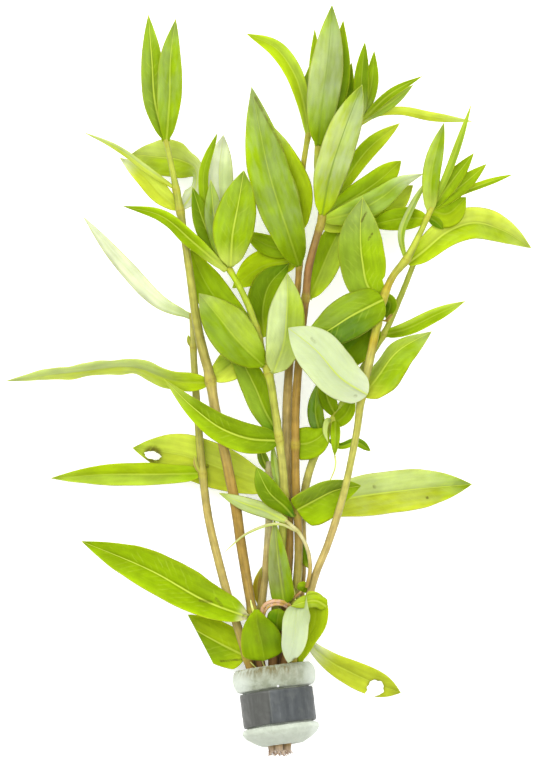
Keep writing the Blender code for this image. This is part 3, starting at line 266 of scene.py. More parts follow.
# The leaves that are pieces of their own. Each grows on the stem of its name's letter
LEAVES: dict[str, tuple[Blade, Tint]] = {
    "leaf_a1": (Blade(12.6, 0, [(-9.6, 15.4, 12.8), (-16.2, 18.5, 8.8), (-22.4, 21.8, 6),
        (-32, 27.6, 3.2)], 0.75, 0.35), Tint("LEAF BRIGHT BRIGHT LEAF", 0, 0.9, 0.2, -0.1)),
    "leaf_a2": (Blade(7.2, 15, [(-23, 70.4, 12.6, 0), (-34, 70, 10.4, -10), (-52, 70, 5.4, 10),
        (-68.8, 68.8, 0.05, 15)], 0.6), Tint("GREY BRIGHT FRESH GREY", 0, 0.4, 0.5, -0.1)),
    "leaf_a3": (Blade(5, 0, [(-26, 117.4, 11), (-35, 121.5, 10.6), (-45, 131.4, 9), (-58.9, 147.9, 6)]),
        Tint("ASH ASH MILK ASH", 0, 0.1, -0.8)),
    "leaf_b1": (Blade(13.4, 20, [(-9.2, 27.2, 17.4, -22), (-20, 31.2, 17, -18), (-38, 41, 10, -4),
        (-59.4, 49.9, 0.05, 0)], 0.45, 0.38),
        Tint("FRESH FRESH CREAM FRESH", 0, 1, 0.3, -0.5, heel_end=0.07)),
    "leaf_b2": (Blade(9.4, 0, [(-20.4, 97.6, 21, 0), (-31, 98.2, 19, 40), (-43, 102.2, 15, 58),
        (-60, 101, 8.6, 60), (-72, 99.6, 4.2, 52), (-82.4, 98, 0.05, 50)], 0.5, 0.4),
        Tint("LEMON PALE BRIGHT PALE", 0.1, 0.3, 0.4, 0.1, heel_end=0.42)),
    "leaf_b3": (Blade(9.5, 0, [(-20.2, 98.8, 20.8), (-15, 102.2, 18.6), (-9.6, 107.4, 17.6),
        (-5.4, 114, 17)]), Tint("GREY LEMON LEMON LEAF", 0, 0.5, 0, 0.8)),
    "leaf_b4": (Blade(6.4, 0, [(-29.4, 149.4, 22.8), (-34.6, 153.6, 21.8), (-40.2, 159.6, 20.4),
        (-47.6, 165.2, 19)]), Tint("YELLOW LEMON YELLOW ASH", 0, 0.4, 0.3, 0.3)),
    "leaf_b5": (Blade(11.6, 0, [(-29.2, 149.4, 22.4, 0), (-26.2, 153.2, 20.6, 30),
        (-24.2, 158.2, 17.2, 60), (-25.2, 162.4, 14.4, 66), (-29, 164.4, 11.8, 30), (-36, 165.4, 7, 0),
        (-44.4, 166.4, 0.05, 0)], 0.2, 0.6),
        Tint("BRIGHT WAX ASH WAX", 0.05, 0.9, 0.2, 0.3, heel_end=0.5)),
    "leaf_b6": (Blade(7.2, 10, [(-33.7, 170, 23), (-36.8, 181, 21.8), (-37.8, 194, 20.6),
        (-38.9, 208.2, 18.4)]), Tint("SAGE FRESH LEAF FRESH", 0.05, 1, -0.4, 0.1)),
    "leaf_b7": (Blade(7.6, 10, [(-33.4, 170, 23.6), (-32.5, 183, 25.2), (-32.1, 196, 24.6),
        (-30.6, 206.8, 23)]), Tint("SAGE FRESH LEAF SAGE", 0.1, 0.5, 0.1, -0.3)),
    "leaf_c1": (Blade(13.5, 0, [(-2.4, 66, 12.6), (-14, 70.6, 10.6), (-28, 75.6, 8.4),
        (-43.9, 78, 4.6)], 0.35, 0.45, 1.6), Tint("YELLOW LEMON LEMON GREY", 0, 0.5, 0.3)),
    "leaf_d1": (Blade(9.2, 8, [(0.2, 80.2, 22.8), (-9, 80.9, 24.4), (-17, 83.9, 24.9), (-25, 89.8, 24.8),
        (-34.2, 98.7, 23.6)], 0.6, 0.25, 1.05), Tint("FRESH LEAF DEEP WAX", 0, 0.9, 0.3, -0.4)),
    "leaf_d2": (Blade(8.5, 8, [(0, 82.4, 21.8), (-3.6, 88.6, 20.8), (-7.2, 97, 20.6), (-11.8, 105, 20),
        (-17.2, 110, 19.4)], 0.5, 0.4), Tint("SAGE LEAF MOSS LEAF", 0, 0.5, -0.2, 0.3)),
    "leaf_d3": (Blade(14, 10, [(-4.4, 102.6, 28.4, -10), (-12.2, 110.2, 29.8, -10),
        (-17.8, 117.2, 29, -10), (-23.7, 124.4, 26.8, -5)], 0.25),
        Tint("LEAF GREY LEAF SILVER", 0.06, 0.3, -0.2, -0.1, tip_start=0.75)),
    "leaf_d4": (Blade(11.7, 10, [(-1.2, 100.8, 28.2), (1.6, 109, 29.8), (2.6, 119, 30.6),
        (2.8, 130.5, 29.6)], 0.45), Tint("MILK GREY PALE PALE", 0.05, 0.6, heel_end=0.5)),
    "leaf_d5": (Blade(10.5, 5, [(-7.8, 113.6, 25.6), (-13.4, 117.6, 21.2), (-18.6, 122.8, 18),
        (-22.8, 129.6, 16), (-26.3, 138.2, 14.6)], 0.35, 0.5),
        Tint("LEAF FRESH LEAF BRIGHT", 0, 0.2, 0, -0.2)),
    "leaf_d6": (Blade(10.5, 5, [(-4, 111.4, 26.2), (-4.6, 119, 21.4), (-2.8, 126.5, 18.6),
        (3.3, 133.4, 16.6)], 0.35, 0.5), Tint("DEEP LEAF BRIGHT MOSS", 0, 0.3, -0.2)),
    "leaf_d7": (Blade(12.6, 10, [(-14.2, 132.4, 29), (-13.6, 142, 31), (-11.9, 151, 31),
        (-10.2, 161.2, 29.4)]), Tint("FRESH FRESH WAX SAGE", 0.05, 0.8, 0.2, -0.3)),
    "leaf_d8": (Blade(5, 0, [(-15.6, 131.2, 28, 0), (-25, 139.4, 28.6, 20), (-35, 147.6, 26.6, 30),
        (-46.9, 150.6, 24.6, 30)]), Tint("FRESH FRESH WAX LEAF", 0, 0.6, -0.1, 0.6)),
    "leaf_d9": (Blade(8.6, 5, [(-14.4, 133.4, 25.4), (-16.4, 147, 20.2), (-17.6, 160, 19.4),
        (-16.4, 172, 18.4)], 0.35, 0.5, 1.9), Tint("ASH MILK PALE ASH", 0, 0.5, 0.5, -0.2, heel_end=0.5)),
    "leaf_e1": (Blade(10, 5, [(6, 134.4, 15.4), (-4, 132.8, 13.4), (-13.8, 126, 12)]),
        Tint("VIVID VIVID BRIGHT VIVID", 0, 0.2, 0.3, 0.3)),
    "leaf_e2": (Blade(13, 8, [(6.3, 132.6, 17.2), (3.2, 142, 22.6), (-2, 158, 24.4), (-8, 186.5, 20.6)]),
        Tint("FRESH SAGE LEAF MIST", 0.12, 0.3, 0.2, -0.3, heel_end=0.4, seam=-0.3)),
    "leaf_e3": (Blade(9.2, 5, [(6.8, 143, 17), (5.8, 155, 20.6), (1.4, 165.5, 20.4), (-3, 176, 19.6)]),
        Tint("FRESH BRIGHT BRIGHT PALE", 0, 0.6, 0, 0.2)),
    "leaf_e4": (Blade(5.4, 0, [(9, 172.2, 19.4), (7.6, 181.2, 20.4), (5, 189.8, 20.8), (-0.4, 197.6, 20),
        (-9.6, 202.4, 18)], 0.3, 0.6), Tint("BRIGHT GREY GREY BRIGHT", 0, 0.4, 0.4, 0.6)),
    "leaf_f1": (Blade(14.6, 28, [(5.6, 59.6, 20.4, -28), (10.8, 62.4, 22, -28), (17, 65.4, 22.4, -28),
        (25, 66.8, 21.6, -20)], 0.8, 0.25), Tint("SAGE FRESH FRESH FRESH", 0, 1, -0.2, 0.3)),
    "leaf_f2": (Blade(6.6, 5, [(4.4, 57.6, 19.6), (2, 60.4, 22.8), (-2.3, 64.3, 24),
        (-6.6, 72.5, 23.2)], 0.2, 0.55), Tint("DEEP DEEP SHADE SAGE", 0, 0.5, -0.2)),
    "leaf_f3": (Blade(7.2, 0, [(1.8, 31.2, 18.4), (0.3, 42, 20.4), (-1.2, 57, 20.4)], 0.9, 0.2, 1.1),
        Tint("DUSK LEAF DEEP DUSK", 0.12, 0.3, 0.2, -0.1, seam=0.25)),
    "leaf_f4": (Blade(9.8, 0, [(5.3, 79, 18.2), (9.4, 79.6, 18.4), (12.4, 81.2, 18.2),
        (14.9, 84.2, 17.9)], 0.95, 0.3), Tint("FRESH FRESH LEAF FRESH", 0, 0.4, 0, 0.3)),
    "leaf_f5": (Blade(9.6, 0, [(9.2, 122.8, 20.4), (12.2, 129.6, 19), (15.6, 137.6, 17.6),
        (21.6, 149.2, 16.2)]), Tint("FRESH GREY BRIGHT LEAF", 0, 0.4, 0, 0.5)),
    "leaf_f6": (Blade(7.4, 0, [(13.2, 147.4, 22.8), (22, 152.6, 22.4), (30, 158, 21.4),
        (37, 164.2, 20)], 0.3, 0.5, 2.2),
        Tint("LEAF FRESH GREY BRIGHT", 0, 0.3, 0.7, 0.3, tip_start=0.5)),
    "leaf_f7": (Blade(7.4, 0, [(13.2, 146.2, 23.2), (22, 148.4, 25.6), (31, 153, 25.6), (37, 157.6, 24.8),
        (43.6, 160.2, 24)], 0.35, 0.4, 1.1), Tint("SAGE SAGE GREY ASH", 0.1, 0.3, 0.7, -0.1)),
    "leaf_f8": (Blade(8.4, 0, [(13, 144.4, 22.4), (16.6, 144.8, 20.4), (24, 146.8, 19.4),
        (32, 150.2, 18.4), (40.6, 156.9, 17)], 0.35, 0.6, 1.5),
        Tint("VIVID VIVID LEMON LEMON", 0, 0.3, 0.2, 0.4, tip_start=0.5)),
    "leaf_f9": (Blade(10.3, 10, [(13.2, 147.8, 24.4), (15.6, 160, 29), (19.3, 171.6, 31.2),
        (25.2, 186.8, 31.4)], 0.35, 0.42, 1.7),
        Tint("WAX SILVER BRIGHT LEAF", 0.3, -0.7, 0.3, -0.3, heel_end=0.5)),
    "leaf_f10": (Blade(10.2, 10, [(12, 168.6, 25), (13.3, 182, 27.4), (15.2, 197, 26.4),
        (16.2, 211, 23.4)]), Tint("SILVER MIST LEAF LEAF", 0.2, -0.4, 0.1, -0.3, heel_end=0.55)),
    "leaf_g1": (Blade(12.9, 8, [(7.3, 59.4, 12.6), (20, 62.6, 11.6), (38, 65.2, 7.6),
        (58.6, 67, 0.05)], 0.4, 0.45, 1.6), Tint("PALE YELLOW YELLOW FRESH", 0.1, 0.8, -0.1, 0.2)),
    "leaf_g2": (Blade(4.5, 0, [(32, 112, 17.6), (38, 113.6, 18.4), (47, 117.8, 15.6),
        (56.5, 122.2, 12)], 0.6), Tint("GREY FRESH LEAF WAX", 0, 0.3, 0.7, 0.3, heel_end=0.2, seam=-0.4)),
    "leaf_h1": (Blade(8.6, 15, [(7.4, 21.6, 14.6), (12, 16.8, 13), (16.4, 13.4, 11), (22, 10.4, 8),
        (28, 7.6, 4.6), (37.1, 4.1, 0.05)], 0.15, 0.68),
        Tint("YELLOW YELLOW ASH YELLOW", 0, 0.5, heel_end=0.36)),
    "leaf_h2": (Blade(8, 0, [(6.4, 13.6, 15.4, 0), (8.8, 20.4, 18.4, 0), (11.2, 26.6, 20.4, 0),
        (11, 30.4, 21.8, 0), (8.6, 32, 23.6, 40), (6.4, 30.2, 25.4, 130), (5.5, 26.8, 26, 178),
        (4.9, 21, 25.4, 180), (3, 13.6, 23.8, 180)], 0.25, 0.5, 4),
        Tint("BRIGHT BRIGHT BRIGHT MINT", 0, 0.1, 0.1, 0.1, tip_start=0.45)),
    "leaf_h3": (Blade(14, 8, [(26.6, 94, 35, 180), (19, 98.8, 38.6, 180), (11.2, 107.4, 40.6, 180),
        (3, 114, 40, 180)], 0.55, 0.45, 1.8), Tint("MILK MILK ASH MILK", 0, 0.9)),
    "leaf_h4": (Blade(12.6, -30, [(25.4, 93.6, 32.2, 20), (29.6, 99, 31, 30), (35, 106.2, 30, 30),
        (46.1, 113, 27, 20)], 0.5, 0.35),
        Tint("GREY FRESH YELLOW SILVER", 0.05, 0.8, 0.7, 0.2, tip_start=0.7)),
    "leaf_h5": (Blade(14, 5, [(31.4, 122.4, 32.2), (27.4, 125.6, 30.2), (25.2, 134, 30),
        (24.6, 143, 30.4), (25.3, 153.1, 29.6)], 0.45, 0.45),
        Tint("SAGE FRESH FRESH MIST", 0, 0.8, -0.3, 0.1, tip_start=0.5)),
    "leaf_h6": (Blade(13, 5, [(31.4, 122.4, 35.4), (28.6, 121, 36), (22, 117.6, 36), (15, 113.2, 34.6),
        (6.5, 108.8, 32.6)], 0.7, 0.35), Tint("MOSS SAGE LEAF SAGE", 0.05, 0.9, 0, -0.3, heel_end=0.42)),
    "leaf_h7": (Blade(12, 5, [(29.6, 115.6, 32.6), (25.4, 112, 28), (20, 106.4, 26.6),
        (14.4, 100.6, 26)], 0.5), Tint("DEEP MOSS MOSS DEEP", 0, 0)),
    "leaf_h8": (Blade(9.8, 10, [(38.8, 133.2, 30.4), (43.6, 137, 28.6), (49.8, 142.2, 26),
        (58, 145.5, 19.6), (67, 143.6, 10.2), (76.5, 138.1, 0.05)], 0.5, 0.45),
        Tint("LEMON BRIGHT BRIGHT WAX", 0.05, 1, 0.5, 0.5)),
    "leaf_h9": (Blade(7, 0, [(44.6, 146.8, 30), (36, 146.6, 25.4), (27, 144.6, 22.4)], 0.4),
        Tint("FRESH LEAF BRIGHT DEEP")),
    "leaf_base": (Blade(12.6, 0, [(-6.5, 29.4, 17.6), (-6.2, 25.2, 20.3), (-5, 20, 21.8),
        (-4, 14.2, 21)], 0.15, 0.72, 2.4), Tint("DEEP LEAF FRESH LEAF", 0, 0.1)),
}
# Young and small leaves that grow on each stem, with a joint where each one starts
TWIGS: dict[str, list[tuple[Blade, Tint]]] = {
    "stem_a": [
        (Blade(1.6, 0, [(-25.6, 108, 11.3), (-26.6, 110, 11.6), (-27, 112, 11.8)]),
            Tint("OLIVE OLIVE TAN LEAF", 0.1, 0.8)),
        (Blade(1.6, 0, [(-23, 70, 12.8), (-24.6, 73, 13.8), (-25.1, 76, 13.9)]),
            Tint("TAN OLIVE TAN OLIVE", 0.1, 0.8)),
    ],
    "stem_b": [
        (Blade(2.4, 0, [(-30.6, 155.6, 23.4, 0), (-40, 162, 24.4, 20), (-47, 167.2, 23.6, 30),
            (-59, 173, 22, 40)]), Tint("LEMON PALE YELLOW MILK", 0.1, 0.8)),
    ],
    "stem_c": [
        (Blade(2.6, 0, [(-5, 29.5, 11.2), (-6.3, 36, 11.6), (-4.9, 42.5, 13.6)]),
            Tint("AMBER BROWN AMBER OLIVE", 0, 0.2)),
        (Blade(3.2, 0, [(-2.7, 71, 13), (-4.6, 75, 13.2), (-5.6, 79, 13)]),
            Tint("DEEP LEAF LEAF DEEP", 0.1, 0.8)),
    ],
    "stem_d": [
        (Blade(6.4, 10, [(-14.4, 131.4, 27.2, 0), (-18.6, 145, 26.8, 10), (-20.2, 158.5, 26, 0)]),
            Tint("SAGE SILVER YELLOW SAGE", 0.2, 0.8)),
        (Blade(6.6, 10, [(-14.6, 131.6, 27), (-21.2, 143, 25.2), (-25.7, 156.4, 24.8)]),
            Tint("DEEP LEAF YELLOW MOSS", 0, 0.5, 0.3)),
        (Blade(3, 0, [(-14.6, 131.8, 26.8), (-20.6, 146, 24), (-22.3, 160, 23.2),
            (-18.1, 172.7, 22)], 0.35, 0.6, 1.8), Tint("FRESH LEAF LEAF LEAF", 0, 0.2)),
        (Blade(2.4, 0, [(0.9, 63.5, 19.3), (-0.9, 72, 20.4), (-1.7, 80.2, 21.2)]),
            Tint("SAGE SILVER SAGE SAGE", 0.2)),
    ],
    "stem_e": [
        (Blade(3.8, 0, [(9, 171.6, 18.9), (8.4, 182, 17.8), (9.9, 194, 16.2)]),
            Tint("GREY DEEP LEAF SAGE", 0.1, 0.2, -0.3, tip_start=0.4)),
        (Blade(6.5, 0, [(6.5, 137, 16.3), (-2.5, 138.6, 15.6), (-10.3, 143, 15)]),
            Tint("FRESH FRESH LEAF BRIGHT", 0, 0.2)),
    ],
    "stem_f": [
        (Blade(4.8, 0, [(11.9, 168, 24.2), (11.4, 186, 21.2), (11, 204, 18)]),
            Tint("FRESH BRIGHT DEEP BRIGHT", 0, 0.2)),
        (Blade(7, 0, [(12, 168.2, 24.2), (17.6, 186, 21.6), (19.6, 206.6, 18.4)]),
            Tint("DEEP DEEP LEAF BRIGHT", 0, 0.2, 0, 0.3, tip_start=0.72)),
        (Blade(7, 0, [(12, 167.4, 24.1), (18.6, 180, 18.4), (22.2, 193.8, 15)]),
            Tint("MOSS DEEP LEAF LEAF", 0, 0.3, 0, 0.3)),
    ],
    "stem_g": [
        (Blade(5, 0, [(13.2, 80, 15.2), (11.2, 89, 18.2), (12, 98, 19.2)]),
            Tint("MOSS DEEP DEEP SAGE", 0.1, 0.3, -0.3)),
        (Blade(5.2, 0, [(17.4, 87.6, 16), (14.8, 93, 20), (13.6, 100, 22)]),
            Tint("DEEP LEAF LEAF DEEP", 0, 0.4)),
        (Blade(4.8, 0, [(15.6, 84.4, 15.8), (20.3, 88.2, 18.4), (22.9, 93.9, 19.6)]),
            Tint("LEAF FRESH GREY LEAF", 0, 0.2)),
        (Blade(1.7, 0, [(16.4, 85.8, 15.9), (14.8, 86.2, 18.6), (14.1, 83.2, 19.4), (15, 79.6, 19.2)]),
            Tint("PALE PALE PALE MILK", 0, 0)),
        (Blade(3, 0, [(17.2, 87.2, 16.2), (17.2, 82.6, 19.2), (17, 75.4, 19.4)]),
            Tint("LEAF FRESH LEAF DEEP")),
        (Blade(2.6, 0, [(14, 81.2, 15.3), (18.6, 78.6, 16.6), (23.6, 79.8, 17.4),
            (27.9, 77, 17)], 0.2, 0.75), Tint("MOSS FRESH PALE DEEP", tip_start=0.5)),
    ],
    "stem_h": [
        (Blade(2.4, 0, [(38.2, 134.2, 31.9, 0), (36.8, 141, 31.2, 20), (40.4, 151, 30, 20),
            (45.6, 159.6, 28.4, 20)]), Tint("SILVER SAGE SAGE PALE", 0.2, 0.4)),
        (Blade(4.2, 0, [(31.6, 123.8, 33.2), (33.6, 121, 30.6), (32.2, 116.8, 28.6)], 0.6),
            Tint("DEEP MOSS DEEP DEEP", 0, 0.2)),
        (Blade(5.5, 5, [(45.4, 148.6, 30.4), (46, 161, 33), (49.7, 175.6, 32)], 0.5),
            Tint("GREY LEAF WAX SAGE", 0.1, 0.2, 0.2)),
        (Blade(2.6, 0, [(45.8, 149.6, 30.3), (47.3, 155, 29.6), (47.8, 160.4, 29)]),
            Tint("BRIGHT LEAF YELLOW BRIGHT", 0, 0.2)),
        (Blade(2.4, 0, [(45.8, 149.6, 30.3), (51, 161, 31.4), (54.4, 170.4, 31.6), (58, 181.4, 30.4)]),
            Tint("GREY SAGE SAGE GREY", 0, 0.2)),
        (Blade(5, 0, [(45.9, 149.7, 30.2), (53, 159.2, 29.4), (58.7, 166.4, 28)]),
            Tint("LEAF FRESH DEEP FRESH", 0, 0.4, -0.4)),
        (Blade(5, 0, [(45.9, 149.6, 30.1), (55.4, 157, 27.6), (62.6, 163.2, 26)]),
            Tint("FRESH FRESH LEAF BRIGHT", 0, 0.4, 0, -0.3)),
        (Blade(2.2, 0, [(45.8, 149.4, 30), (55, 154.6, 26.2), (62, 157.3, 24.6),
            (70.7, 160.1, 23)], 0.35, 0.6), Tint("BRIGHT LEAF WAX FRESH", 0, 0.4)),
        (Blade(8.6, 5, [(45.7, 149, 30), (50.6, 148.2, 26), (56.4, 153.2, 23)]),
            Tint("FRESH BRIGHT FRESH FRESH")),
        (Blade(3, 0, [(44.8, 147.2, 30.3), (47.4, 145.6, 28.8), (49.6, 143.4, 28)]),
            Tint("DEEP MOSS DEEP DEEP", 0, 0.2)),
    ],
    "stem_i": [
        (Blade(4.6, 0, [(24.8, 175.8, 19), (25, 188, 20.2), (26.1, 200, 19.4)]),
            Tint("LEAF DEEP SILVER LEAF", 0, 0.2, 0.3, heel_end=0.45)),
        (Blade(4.2, 0, [(24.8, 175.8, 19), (28, 187, 18.2), (28.9, 197.4, 17)]),
            Tint("FRESH LEAF SILVER LEAF", 0, 0.2, heel_end=0.4)),
        (Blade(2.8, 0, [(24.9, 176, 19), (34, 184.4, 21.6), (43.6, 189.7, 20)]),
            Tint("LEAF LEAF GREY LEAF", 0, 0.4)),
        (Blade(3.4, 0, [(24.9, 176, 19), (33.6, 181.4, 19.4), (40.8, 187.1, 18)]),
            Tint("GREY SAGE PALE SAGE", 0.1, 0.4)),
        (Blade(2.9, 0, [(24.4, 174.8, 19), (29.6, 178.2, 17.8), (36, 179.2, 17), (46, 177.5, 15.4),
            (58.8, 176, 13)], 0.3, 0.55), Tint("LEMON YELLOW WAX PALE")),
        (Blade(5.5, 0, [(15.2, 149.8, 21.2), (19.4, 157, 17.2), (27, 167.6, 16.6),
            (36.7, 175.6, 15.6)], 0.3, 0.6), Tint("FRESH BRIGHT WAX YELLOW", 0, 0.4, 0.4, 0.2)),
    ],
    "side_shoot": [
        (Blade(4.6, 0, [(2.6, 56.1, 21.6), (-3.6, 59.1, 21.6), (-10.5, 61.5, 21.4), (-17.9, 64.6, 20.6)]),
            Tint("SILVER PALE PALE SILVER", 0.3, 0.8)),
        (Blade(0.9, 0, [(6.2, 52.7, 21.8), (0.6, 55.2, 22.6), (-8.4, 52.9, 23),
            (-17.3, 45.7, 22)], 0.8, 0.3), Tint("PALE CREAM CREAM PALE", 0, 0)),
    ],
}
# Small leaves and nubs that grow where the stems have no joint
BUDS: dict[str, list[tuple[Blade, Tint]]] = {
    "stem_d": [
        (Blade(6.4, 0, [(-0.4, 23, 15.6), (-0.2, 26.4, 18), (0.4, 30, 18.4)], 0.5, 0.5, 2.2),
            Tint("MOSS DEEP MOSS LEAF", 0, 0.2)),
    ],
    "stem_f": [
        (Blade(2.8, 0, [(5.9, 53, 16.6), (7.6, 47.4, 15.4), (9.2, 41.8, 15)], 0.3, 0.7, 1.8),
            Tint("MOSS DEEP DEEP YELLOW", 0, 0, tip_start=0.8)),
    ],
    "stem_h": [
        (Blade(1.3, 0, [(32.4, 116, 31.6), (33.4, 117.2, 32), (34.4, 118.2, 32.2)], 0.9, 0.4, 2),
            Tint("BROWN TAN BROWN ROT", 0, 0)),
        (Blade(3.2, 0, [(9.2, 35.4, 17.8), (7.6, 36.4, 18.6), (5.6, 36, 18.6)], 0.8, 0.4, 2),
            Tint("DEEP FRESH LEAF DEEP", 0, 0)),
    ],
}
# The turned-over top of a leaf that folds back on itself
FOLDS: dict[str, tuple[Blade, Tint]] = {
    "leaf_h2": (Blade(4.2, 0, [(14.4, 30.6, 22.4), (11.6, 32.2, 24.4), (8.2, 32, 26.4),
        (3.8, 30.6, 27)], 0.9, 0.4, 1.6), Tint("BRIGHT BRIGHT BRIGHT BRIGHT", 0.1, 0.8)),
}
# Holes eaten through a blade: the middle's x and y, two radii and the turn of the first
BITES: dict[str, Route] = {
    "leaf_c1": [(-37.7, 75.7, 2.5, 1.2, -12)],
    "leaf_h1": [(29.4, 5.7, 2.5, 2.4, 0), (27.5, 3.8, 1.5, 1.3, 50)],
}
# Where a blade has broken off: corners of the piece that is gone
BREAKS: dict[str, Route] = {
    "leaf_a1": [(-28.9, 31), (-20.4, 14.9), (-17, 8), (-38, 8), (-38, 36)],
}
# Blotches and cracks on the leaves
MARKS: dict[str, list[Mark]] = {
    "leaf_b1": [Mark(-23.4, 32.2, 0.5, 3.4, -0.4, 0.6), Mark(-18.6, 32.8, 0.5, 1.6, -2, 0.6),
        Mark(-9.8, 27.4, 1.1, 1.2, -1.6, 0.7)],
    "leaf_a1": [Mark(-17.2, 13.9, 0.35, 6.8, 0.6, 0.8)],
    "leaf_c1": [Mark(-37.7, 75.7, 3.3), Mark(-24.7, 73, 0.8), Mark(-21.3, 72.5, 0.7)],
    "leaf_d1": [Mark(-12.5, 87, 0.5)],
    "leaf_e2": [Mark(-6.8, 183, 0.45, 8.6, -16, 0.6)],
    "leaf_g1": [Mark(29, 66.3, 0.6), Mark(45, 63, 0.5)],
    "leaf_h2": [Mark(5.2, 14.2, 1.2)],
    "leaf_h1": [Mark(29.4, 5.7, 3)],
    "leaf_h3": [Mark(10, 110.8, 0.5, 1, -1.2, 0.35), Mark(23, 93.6, 0.5, 0.6, 0.2, 0.4)],
    "leaf_h5": [Mark(26.4, 148.6, 0.35, -1.4, -2.8, 0.9), Mark(28.2, 142.2, 0.35, -1.2, -1.8, 0.8)],
    "leaf_base": [Mark(-5.8, 26, 2.6, 0.8, -5, 0.3)],
}
# Thin trimmings: x, y, z and radius along each
THREADS: dict[str, list[Route]] = {
    "arched_stalk": [
        [(-5, 28, 16.2, 0.62), (-4.2, 30.6, 18, 0.64), (-1.8, 32, 19, 0.64), (1.2, 31.9, 18.8, 0.6),
            (3.6, 30.6, 17.2, 0.56), (4.4, 29.4, 15.8, 0.5)],
        [(-4.3, 27.8, 16, 0.42), (-3.3, 29.9, 18, 0.45), (-1.4, 31, 19, 0.45), (1, 31, 18.8, 0.42),
            (3.2, 29.8, 17, 0.4)],
    ],
    "pale_fibres": [
        [(17.1, 75.6, 18.6, 0.3), (17.3, 73.6, 17.8, 0.26), (17, 71.6, 16.8, 0.24),
            (15.6, 68.2, 15.4, 0.18)],
        [(4.4, 36.9, 17, 0.2), (4.9, 34.6, 17.6, 0.2), (5.2, 32.4, 17.2, 0.16)],
        [(-7.3, 28.8, 17.2, 0.42), (-7.9, 30.8, 17.8, 0.3), (-8.2, 32.4, 17.9, 0.12)],
        [(-8.4, 13.8, 15.2, 0.16), (-7.5, 12.9, 15.4, 0.18), (-6.6, 12, 15.2, 0.14)],
        [(-4.9, 14.4, 15.5, 0.16), (-4.3, 12.9, 15.5, 0.2), (-3.6, 11.4, 15.2, 0.14)],
    ],
    "brown_twig": [
        [(4.4, 32.8, 17.6, 0.34), (6.2, 34.2, 18.2, 0.42), (8, 36, 18, 0.36)],
    ],
}


def smooth(value: np.ndarray | float, low: float, high: float) -> np.ndarray:
    """Rise smoothly from 0 at one value to 1 at another.

    Args:
        value: the values to look up.
        low: where the rise starts.
        high: where it ends.

    Returns:
        The risen values, 0 to 1.
    """
    part = np.clip((np.asarray(value, float) - low) / (high - low), 0, 1)
    return part * part * (3 - 2 * part)


def distances(points: np.ndarray) -> np.ndarray:
    """How far along a line of points each of them is."""
    return np.concatenate([[0.0], np.cumsum(np.linalg.norm(np.diff(points, axis=0), axis=1))])


def spline(points: Route | np.ndarray, at: np.ndarray | float) -> np.ndarray:
    """Follow a smooth curve through points.

    Args:
        points: the curve's points, whose first three values are x, y and z.
        at: fractions of the way along it.

    Returns:
        One row of values for each fraction.
    """
    points = np.asarray(points, float)
    knots = distances(points[:, :3])
    knots = knots / knots[-1]
    slopes = np.gradient(points, knots, axis=0)
    at = np.clip(np.atleast_1d(at), 0.0, 1.0)
    low = np.clip(np.searchsorted(knots, at, side="right") - 1, 0, len(points) - 2)
    span = (knots[low + 1] - knots[low])[:, None]
    u = (at - knots[low])[:, None] / span
    return (
        points[low] * (1 + 2 * u) * (1 - u) ** 2
        + slopes[low] * span * u * (1 - u) ** 2
        + points[low + 1] * u**2 * (3 - 2 * u)
        + slopes[low + 1] * span * u**2 * (u - 1)
    )


def stepped(route: Route, step: float, least: int = 2) -> np.ndarray:
    """Follow a route in even steps.

    Args:
        route: its points.
        step: how far apart the rows are, about.
        least: how many rows there are at least.

    Returns:
        One row of values for each step.
    """
    length = distances(np.array(route)[:, :3])[-1]
    return spline(route, np.linspace(0, 1, max(int(length / step), least)))


def unit(vectors: np.ndarray) -> np.ndarray:
    """The vectors at length one."""
    return vectors / np.linalg.norm(vectors, axis=-1, keepdims=True)


def directions(points: Route, at: np.ndarray) -> tuple[np.ndarray, np.ndarray]:
    """Find the directions beside a curve.

    Args:
        points: the curve's points.
        at: fractions of the way along it.

    Returns:
        To its right as seen from above, and up out of it.
    """
    step = 0.002
    ahead = spline(points, np.minimum(at + step, 1.0))[:, :3]
    along = unit(ahead - spline(points, np.maximum(at - step, 0.0))[:, :3])
    right = unit(np.cross(along, [0.0, 0.0, 1.0]))
    return right, np.cross(right, along)


def added(name: str, data: bpy.types.ID) -> bpy.types.Object:
    """Put an object in the scene.

    Args:
        name: its name.
        data: its mesh, lamp or camera.

    Returns:
        The object, at the origin.
    """
    item = bpy.data.objects.new(name, data)
    bpy.context.scene.collection.objects.link(item)
    return item


def settled(item: bpy.types.Object) -> bpy.types.Mesh:
    """Turn an object and its modifiers into a plain mesh, and take the modifiers off it.

    Args:
        item: the object.

    Returns:
        The plain mesh.
    """
    graph = bpy.context.evaluated_depsgraph_get()
    mesh = bpy.data.meshes.new_from_object(item.evaluated_get(graph))
    item.modifiers.clear()
    return mesh


def store(mesh: bpy.types.Mesh, carried: dict[str, np.ndarray]) -> None:
    """Write values onto a mesh's points: one number, a vector or a colour for each.

    Args:
        mesh: the mesh.
        carried: an array for each attribute's name, with 1, 3 or 4 values a point.
    """
    kinds = {1: ("FLOAT", "value"), 3: ("FLOAT_VECTOR", "vector"), 4: ("FLOAT_COLOR", "color")}
    for name, values in carried.items():
        values = np.asarray(values, float).reshape(len(mesh.vertices), -1)
        kind, key = kinds[values.shape[1]]
        layer = mesh.attributes.get(name) or mesh.attributes.new(name, kind, "POINT")
        layer.data.foreach_set(key, values.ravel())


def rings(rows: int, sides: int, looped: bool = False) -> list[tuple[int, ...]]:
    """List the faces between rings of points.

    Args:
        rows: how many rings there are.
        sides: how many points each has.
        looped: whether the last ring joins the first.

    Returns:
        The faces, without caps.
    """
    faces = []
    for row in range(rows if looped else rows - 1):
        low, high = row * sides, (row + 1) % rows * sides
        for i in range(sides):
            beside = (i + 1) % sides
            faces.append((low + i, low + beside, high + beside, high + i))
    return faces


